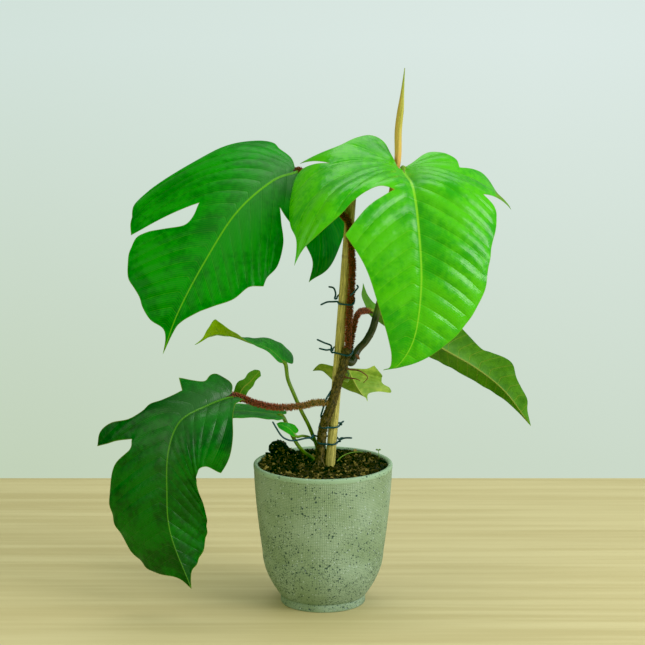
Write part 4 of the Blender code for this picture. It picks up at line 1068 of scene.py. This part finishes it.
def make_blades():
    make_blade("blade_upper_left", "leaf_upper_left", "leaf_mid", "leaf_mid", UPPER_LEFT)
    make_blade("blade_upper_right", "leaf_upper_right", "leaf_bright", "leaf_bright", UPPER_RIGHT,
               rolled=(18, 46, 96))
    make_blade("blade_lower_left", "leaf_lower_left", "leaf_dark", "leaf_dark", LOWER_LEFT)
    make_blade("blade_lower_lobe", "leaf_lower_lobe", "leaf_olive", "leaf_olive", LOWER_LOBE, 0.9, 0.45, 0.6,
               rolled=(-9, 99, -99))
    make_blade("blade_rear_right", "leaf_rear_right", "leaf_olive", "leaf_olive", REAR_RIGHT, 1.4, 0.5, 1.2)
    make_blade("blade_rear_low", "leaf_rear_low", "leaf_pale", "leaf_olive", REAR_LOW, 1.2, 0.5, 0.8)
    make_blade("blade_small_upper", "leaf_small_upper", "leaf_green", "leaf_mid", SMALL_UPPER, 1.2, 0.5, 0.8)
    make_blade("blade_low_long", "leaf_low_long", "leaf_green", "leaf_mid", LOW_LONG, 1.2, 0.5, 0.8)
    make_blade("blade_small_curled", "leaf_small_curled", "leaf_green", "leaf_olive", SMALL_CURLED,
               0.8, 0.4, 0.5)


# ------------------------------------------------------------------ leaf stalks

def stalk(name, node, kind, slot, route, radius, blade, v=0.0, hairs=0, length=1.9, hair_radius=None):
    """A stalk that runs into the midrib under its blade, with bristles where it has them."""
    u_end = np.array([-4.0, 2.0, 7.0])
    into = blade.place(u_end, np.full(3, v if v else 0.01))
    down = blade.normal(u_end, np.full(3, v if v else 0.01))
    into = into - down * np.array([radius * 0.55, radius * 0.5, radius * 0.2])[:, None]
    line = smooth(above([tuple(p) for p in route] + [tuple(p) for p in into]), 0.8)
    run = run_of(line)
    bar = hair_radius or radius
    swell = np.exp(-((run[-1] - 11 - run) / 5.0) ** 2)
    size = bar * (1.0 + 0.10 * np.exp(-run / 4.0)) + 0.12 * swell
    size = size * (1 - 0.75 * ease((run - run[-1] + 9.0) / 9.0))
    pile = Pile()
    swept(pile, line, size, 20)
    if hairs:
        bristles(pile, line, size, int(hairs * run[-1]), length, len(name), high=1 - 8.0 / run[-1])
    show(pile.build(name, kind), slot, node)


def stem_top():
    return stem_at(STEM_TURNS[-1][0]) + np.array((0.2, 0, 0.7))


def make_stalks():
    beside = [beside_cane(h, a, HAIRY_RADIUS, STALK_OFF_CANE) for h, a in STALK_TURNS]
    stalk("petiole_upper_left", "stalk_upper_left", "hairy_red", "hairy_stalk",
          [stem_top() - UP * 3, stem_top() + (0.6, 0.2, 5)] + beside
          + [(18, -2, 258), (13, 10, 268), (2, 34, 280), (-10, 56, 288)],
          HAIRY_RADIUS, UPPER_LEFT, -3.0, 20, 2.4, 2.3)
    stalk("petiole_upper_right", "stalk_upper_right", "green_stalk", "green_stalk",
          [(62.0, 22.5, 182), (62.5, 20.5, 187), (69, 17, 227), (76, 18, 262), (78, 22, 286)],
          YOUNG_RADIUS, UPPER_RIGHT)
    stalk("petiole_lower_left", "stalk_lower_left", "hairy_fade", "hairy_stalk",
          off_stem(67, (-1, -0.25, 0.1)) + [(-10, -6, 69), (-18, -8, 67), (-30, -10, 66), (-44, -12, 66),
                                             (-62, -12, 69)],
          HAIRY_RADIUS, LOWER_LEFT, -2.0, 22, 2.5, 2.2)
    stalk("petiole_rear_right", "stalk_rear_right", "hairy_red", "hairy_stalk",
          off_stem(111, (0.3, 0.95, 0.3)) + [(26, 15, 116), (28, 24, 124), (31, 36, 139), (36, 48, 150)],
          THIN_RADIUS, REAR_RIGHT, 2.5, 20, 2.2, 2.1)
    stalk("petiole_rear_low", "stalk_rear_low", "green_stalk", "green_stalk",
          off_stem(92, (0.95, 0.25, 0.1)) + [(26, 14, 93), (24, 30, 95), (23, 50, 99)], TINY_RADIUS, REAR_LOW)
    stalk("petiole_small_upper", "stalk_small_upper", "green_stalk", "green_stalk",
          off_soil(-4, 30, (-0.5, -0.6)) + [(-6, 27, 16), (-10, 21, 29), (-15, 14, 43), (-22, 10, 58),
                                            (-29, 8, 75), (-35, 9, 90)], THIN_RADIUS, SMALL_UPPER)
    stalk("petiole_low_long", "stalk_low_long", "green_stalk", "green_stalk",
          off_soil(-10, 27, (-0.5, -0.5)) + [(-19, 18, 13), (-26, 12, 23), (-33, 12, 36)],
          THIN_RADIUS, LOW_LONG)
    stalk("petiole_small_curled", "stalk_small_curled", "green_stalk", "green_stalk",
          off_soil(-1, 38, (-0.3, -0.3)) + [(-5, 35, 15), (-12, 28, 25), (-20, 13, 31)],
          TINY_RADIUS, SMALL_CURLED)


# ------------------------------------------------------------------ ties and roots

def loop_round(circles, height, face, opening, dip):
    """Wire path round two upright rods, open towards the direction face (degrees), lower in front."""
    path = []
    for k in range(41):
        turn = math.radians(face + opening + (360 - 2 * opening) * k / 40)
        way = np.array((math.cos(turn), math.sin(turn), 0))
        centre, radius = max(circles, key=lambda c: c[0].dot(way) + c[1])
        spot = np.array((centre[0], centre[1], height + dip * way[1]))
        path.append(spot + way * (radius + WIRE_RADIUS + WIRE_CLEARANCE))
    return path


def tie(name, node, height, partner, partner_radius, face, dip, tail_a, tail_b, extra=()):
    """Wire bent round the cane and its partner, with two loose ends and any extra pieces of wire."""
    path = loop_round([(cane_axis(height), CANE_RADIUS), (partner, partner_radius)], height, face, 16, dip)
    outward = np.array((math.cos(math.radians(face)), math.sin(math.radians(face)), 0)) * WIRE_START
    path = [path[0] + outward] + path[::2] + [path[-1] + outward]
    points = [tuple(p) for p in list(reversed(tail_a)) + path + list(tail_b)]
    pile = Pile()
    for route in (points, *extra):
        line = smooth(above(route), 0.7)
        size = np.full(len(line), WIRE_RADIUS)
        size[:2] *= (0.6, 0.92)
        size[-2:] *= (0.92, 0.6)
        swept(pile, line, size, 12)
    show(pile.build(name, "wire"), "wire", node)


SUNK_IN_BARK = 2.4           # radius of the stem under a wire that has grown into its bark


def make_ties():
    tie("wire_top", "tie_top", 171, beside_cane(171, STALK_TURNS[0][1], HAIRY_RADIUS, STALK_OFF_CANE),
        HAIRY_RADIUS - 0.8, 190, 4.5,
        [(9, 2, 169.5), (4, 0, 169.5), (-2.5, -2, 167)], [(12.5, 11, 176), (10.5, 9, 182), (5.5, 5, 184)],
        [[(26.5, -1, 176), (30, -1, 179), (33, -2, 182.5), (34.5, -2, 185), (33, -2, 187)]])
    tie("wire_middle", "tie_middle", 119.5, stem_at(118), STEM_RADIUS - 0.4, 200, 3.0,
        [(7, 3, 121), (3, 2, 121), (-4, 0, 123)], [(8, 9, 124), (1, 4, 128), (-6, 0, 132)])
    tie("wire_lower", "tie_lower", 43, stem_at(43), SUNK_IN_BARK, 20, 1.5,
        [(17, 17, 42), (19, 16, 41.5)], [(18, 9, 45), (21, 10, 47)],
        [[(8, 1, 80), (6, -2, 77), (3, -3, 72), (0, -1, 62), (-2, 3, 54), (-1, 8, 50)]])
    tie("wire_bottom", "tie_bottom", 27, stem_at(27), SUNK_IN_BARK, 0, 3.0,
        [(18, 16, 28), (21, 15, 28.5)], [(17, 8, 28), (22, 4, 31), (29, 0, 32)],
        [[(-3, 16, 29), (-8, 14, 31), (-10, 9, 32.5), (-11, 6, 31), (-18, -2, 32), (-29, -3, 30),
          (-36, -6, 32), (-42, -8, 37), (-50, -10, 51)]])


def make_litter():
    """A pale strand that lies on the mix, and a tiny seedling by the rim."""
    pile = Pile()
    for route, radius in (([(14, 24, 1.5), (19, 33, 4.5), (27, 40, 6.5), (37, 44, 6.8), (46, 45, 4.5)], 0.55),
                          ([(57, 24, 2.0), (56.5, 26, 8.0), (56, 28, 12.5)], 0.4)):
        line = smooth(above(route), 0.8)
        swept(pile, line, radius * np.linspace(1.2, 0.7, len(line)), 8)
    for side in (-1.0, 1.0):
        start = np.array((56.0, 28.0, 12.3))
        leaf = smooth(above([start, start + (1.3 * side, 0, 0.8), start + (2.8 * side, 0, 0.7)]), 0.4)
        swept(pile, leaf, 0.9 * np.sin(np.linspace(0.2, math.pi - 0.1, len(leaf))), 8)
    show(pile.build("seedling_and_strand", "green_stalk"), "green_stalk")


def make_roots():
    """Two aerial roots that hang from the stem, and a root that arches out of the mound."""
    for name, node, height, way, route in (
            ("air_root_long", "root_long", 104, (0.8, -0.55, -0.1),
             [(36, -8, 102), (44, -9, 96), (40, -9, 90)]),
            ("air_root_short", "root_short", 96, (0.8, -0.5, -0.1), [(33, -9, 94), (37, -10, 92)])):
        line = smooth(above([tuple(p) for p in off_stem(height, way)] + route), 0.7)
        show_bar(name, "root", "root", line, np.linspace(ROOT_RADIUS + 0.25, 0.3, len(line)), 12, node)
    arch = []
    for degrees in range(-10, 191, 20):
        side, rise = math.cos(math.radians(degrees)), math.sin(math.radians(degrees))
        x, y = LOOP_AT[0] + LOOP_REACH * side, LOOP_AT[1] - 2 * rise
        arch.append((x, y, max(float(soil_height(*LOOP_AT)) + LOOP_REACH * rise,
                               float(soil_height(x, y)) + LOOP_RADIUS - 1.0)))
    line = smooth(above(arch), 0.8)
    radius = LOOP_RADIUS * (0.85 + 0.12 * np.sin(np.arange(len(line)) * 0.9))
    show_bar("curled_root", "dark_root", "root", line, radius, 14, "root_loop")


# ------------------------------------------------------------------ studio (metres)

TABLE_REACH, TABLE_EDGE = 3.0, 0.485
CAMERA_AT, CAMERA_DIP, CAMERA_LENS = (-0.0005, -2.043, 0.660), 10.4, 117.44
LIT_FROM_ALL_ROUND, SEEN_IN_GLOSS = 0.90, 0.33


def make_floor():
    """The table top, which ends in a straight edge behind the plant."""
    mesh = bpy.data.meshes.new("floor")
    x, back = TABLE_REACH, TABLE_EDGE
    mesh.from_pydata([(-x, -x, 0), (x, -x, 0), (x, back, 0), (-x, back, 0)], [], [(0, 1, 2, 3)])
    floor = bpy.data.objects.new("floor", mesh)
    bpy.context.scene.collection.objects.link(floor)
    mesh.materials.append(LOOKS["floor"])


def lamp(name, place, aim, width, height, power, colour=(1, 1, 1)):
    """A soft rectangular lamp that points at aim; power is in watts."""
    data = bpy.data.lights.new(name, "AREA")
    data.shape = "RECTANGLE"
    data.size, data.size_y, data.energy, data.color = width, height, power, colour
    made = bpy.data.objects.new(name, data)
    made.location = place
    made.rotation_euler = (Vector(aim) - Vector(place)).to_track_quat("-Z", "Y").to_euler()
    bpy.context.scene.collection.objects.link(made)


def make_world():
    """A pale wall, lighter above and to the right, and dimmer light from its lower left."""
    world = bpy.data.worlds.new("studio")
    world.use_nodes = True
    bpy.context.scene.world = world
    nodes, links = world.node_tree.nodes, world.node_tree.links

    def ramp(source, low, high):
        made = nodes.new("ShaderNodeMapRange")
        links.new(source, made.inputs[0])
        made.inputs[1].default_value, made.inputs[2].default_value = low, high
        return made.outputs[0]

    def blend(share, a, b):
        made = nodes.new("ShaderNodeMix")
        made.data_type = "RGBA"
        links.new(share, made.inputs[0])
        for socket, value in ((made.inputs[6], a), (made.inputs[7], b)):
            if isinstance(value, tuple):
                socket.default_value = (*value, 1.0)
            else:
                links.new(value, socket)
        return made.outputs[2]

    split, path = nodes.new("ShaderNodeSeparateXYZ"), nodes.new("ShaderNodeLightPath")
    links.new(nodes.new("ShaderNodeTexCoord").outputs["Generated"], split.inputs[0])
    right, up = split.outputs[0], split.outputs[2]
    high = blend(ramp(right, -0.14, 0.10), (0.650, 0.760, 0.705), (0.715, 0.815, 0.780))
    low = blend(ramp(right, -0.14, 0.14), (0.545, 0.645, 0.490), (0.600, 0.700, 0.590))
    wall = nodes["Background"]
    links.new(blend(ramp(up, -0.245, -0.05), low, high), wall.inputs["Color"])
    ambient = nodes.new("ShaderNodeBackground")
    links.new(blend(ramp(right, -0.7, 0.7), (0.56, 0.60, 0.42), (0.70, 0.80, 0.78)), ambient.inputs["Color"])
    dimmer = nodes.new("ShaderNodeMapRange")
    links.new(path.outputs["Is Glossy Ray"], dimmer.inputs[0])
    dimmer.inputs[3].default_value, dimmer.inputs[4].default_value = LIT_FROM_ALL_ROUND, SEEN_IN_GLOSS
    links.new(dimmer.outputs[0], ambient.inputs["Strength"])
    mixer = nodes.new("ShaderNodeMixShader")
    links.new(path.outputs["Is Camera Ray"], mixer.inputs[0])
    links.new(ambient.outputs[0], mixer.inputs[1])
    links.new(wall.outputs[0], mixer.inputs[2])
    links.new(mixer.outputs[0], nodes["World Output"].inputs["Surface"])


def make_studio():
    """Table, wall, three lamps and the camera; the picture's darkest greens are kept free of haze."""
    scene = bpy.context.scene
    scene.view_settings.view_transform = "Standard"
    scene.view_settings.use_curve_mapping = True
    scene.view_settings.curve_mapping.black_level = (0.009, 0.0, 0.005)
    scene.view_settings.curve_mapping.update()
    make_floor()
    make_world()
    middle = (0.0, 0.0, 0.3)
    lamp("key", (1.75, -0.95, 1.05), middle, 1.3, 1.2, 34, (1.0, 0.99, 0.97))
    lamp("fill", (-1.7, -1.3, 1.0), middle, 1.6, 1.6, 9, (1.0, 0.97, 0.80))
    lamp("top", (0.1, 0.5, 1.9), middle, 1.2, 1.2, 10)
    data = bpy.data.cameras.new("camera")
    data.lens, data.sensor_width = CAMERA_LENS, 36.0
    camera = bpy.data.objects.new("camera", data)
    camera.location = CAMERA_AT
    camera.rotation_euler = (math.radians(90 - CAMERA_DIP), 0, 0)
    scene.collection.objects.link(camera)
    scene.camera = camera


make_studio()
make_pot()
make_soil()
make_cane()
make_main_stem()
make_shoot()
make_spear()
make_blades()
make_stalks()
make_ties()
make_roots()
make_litter()
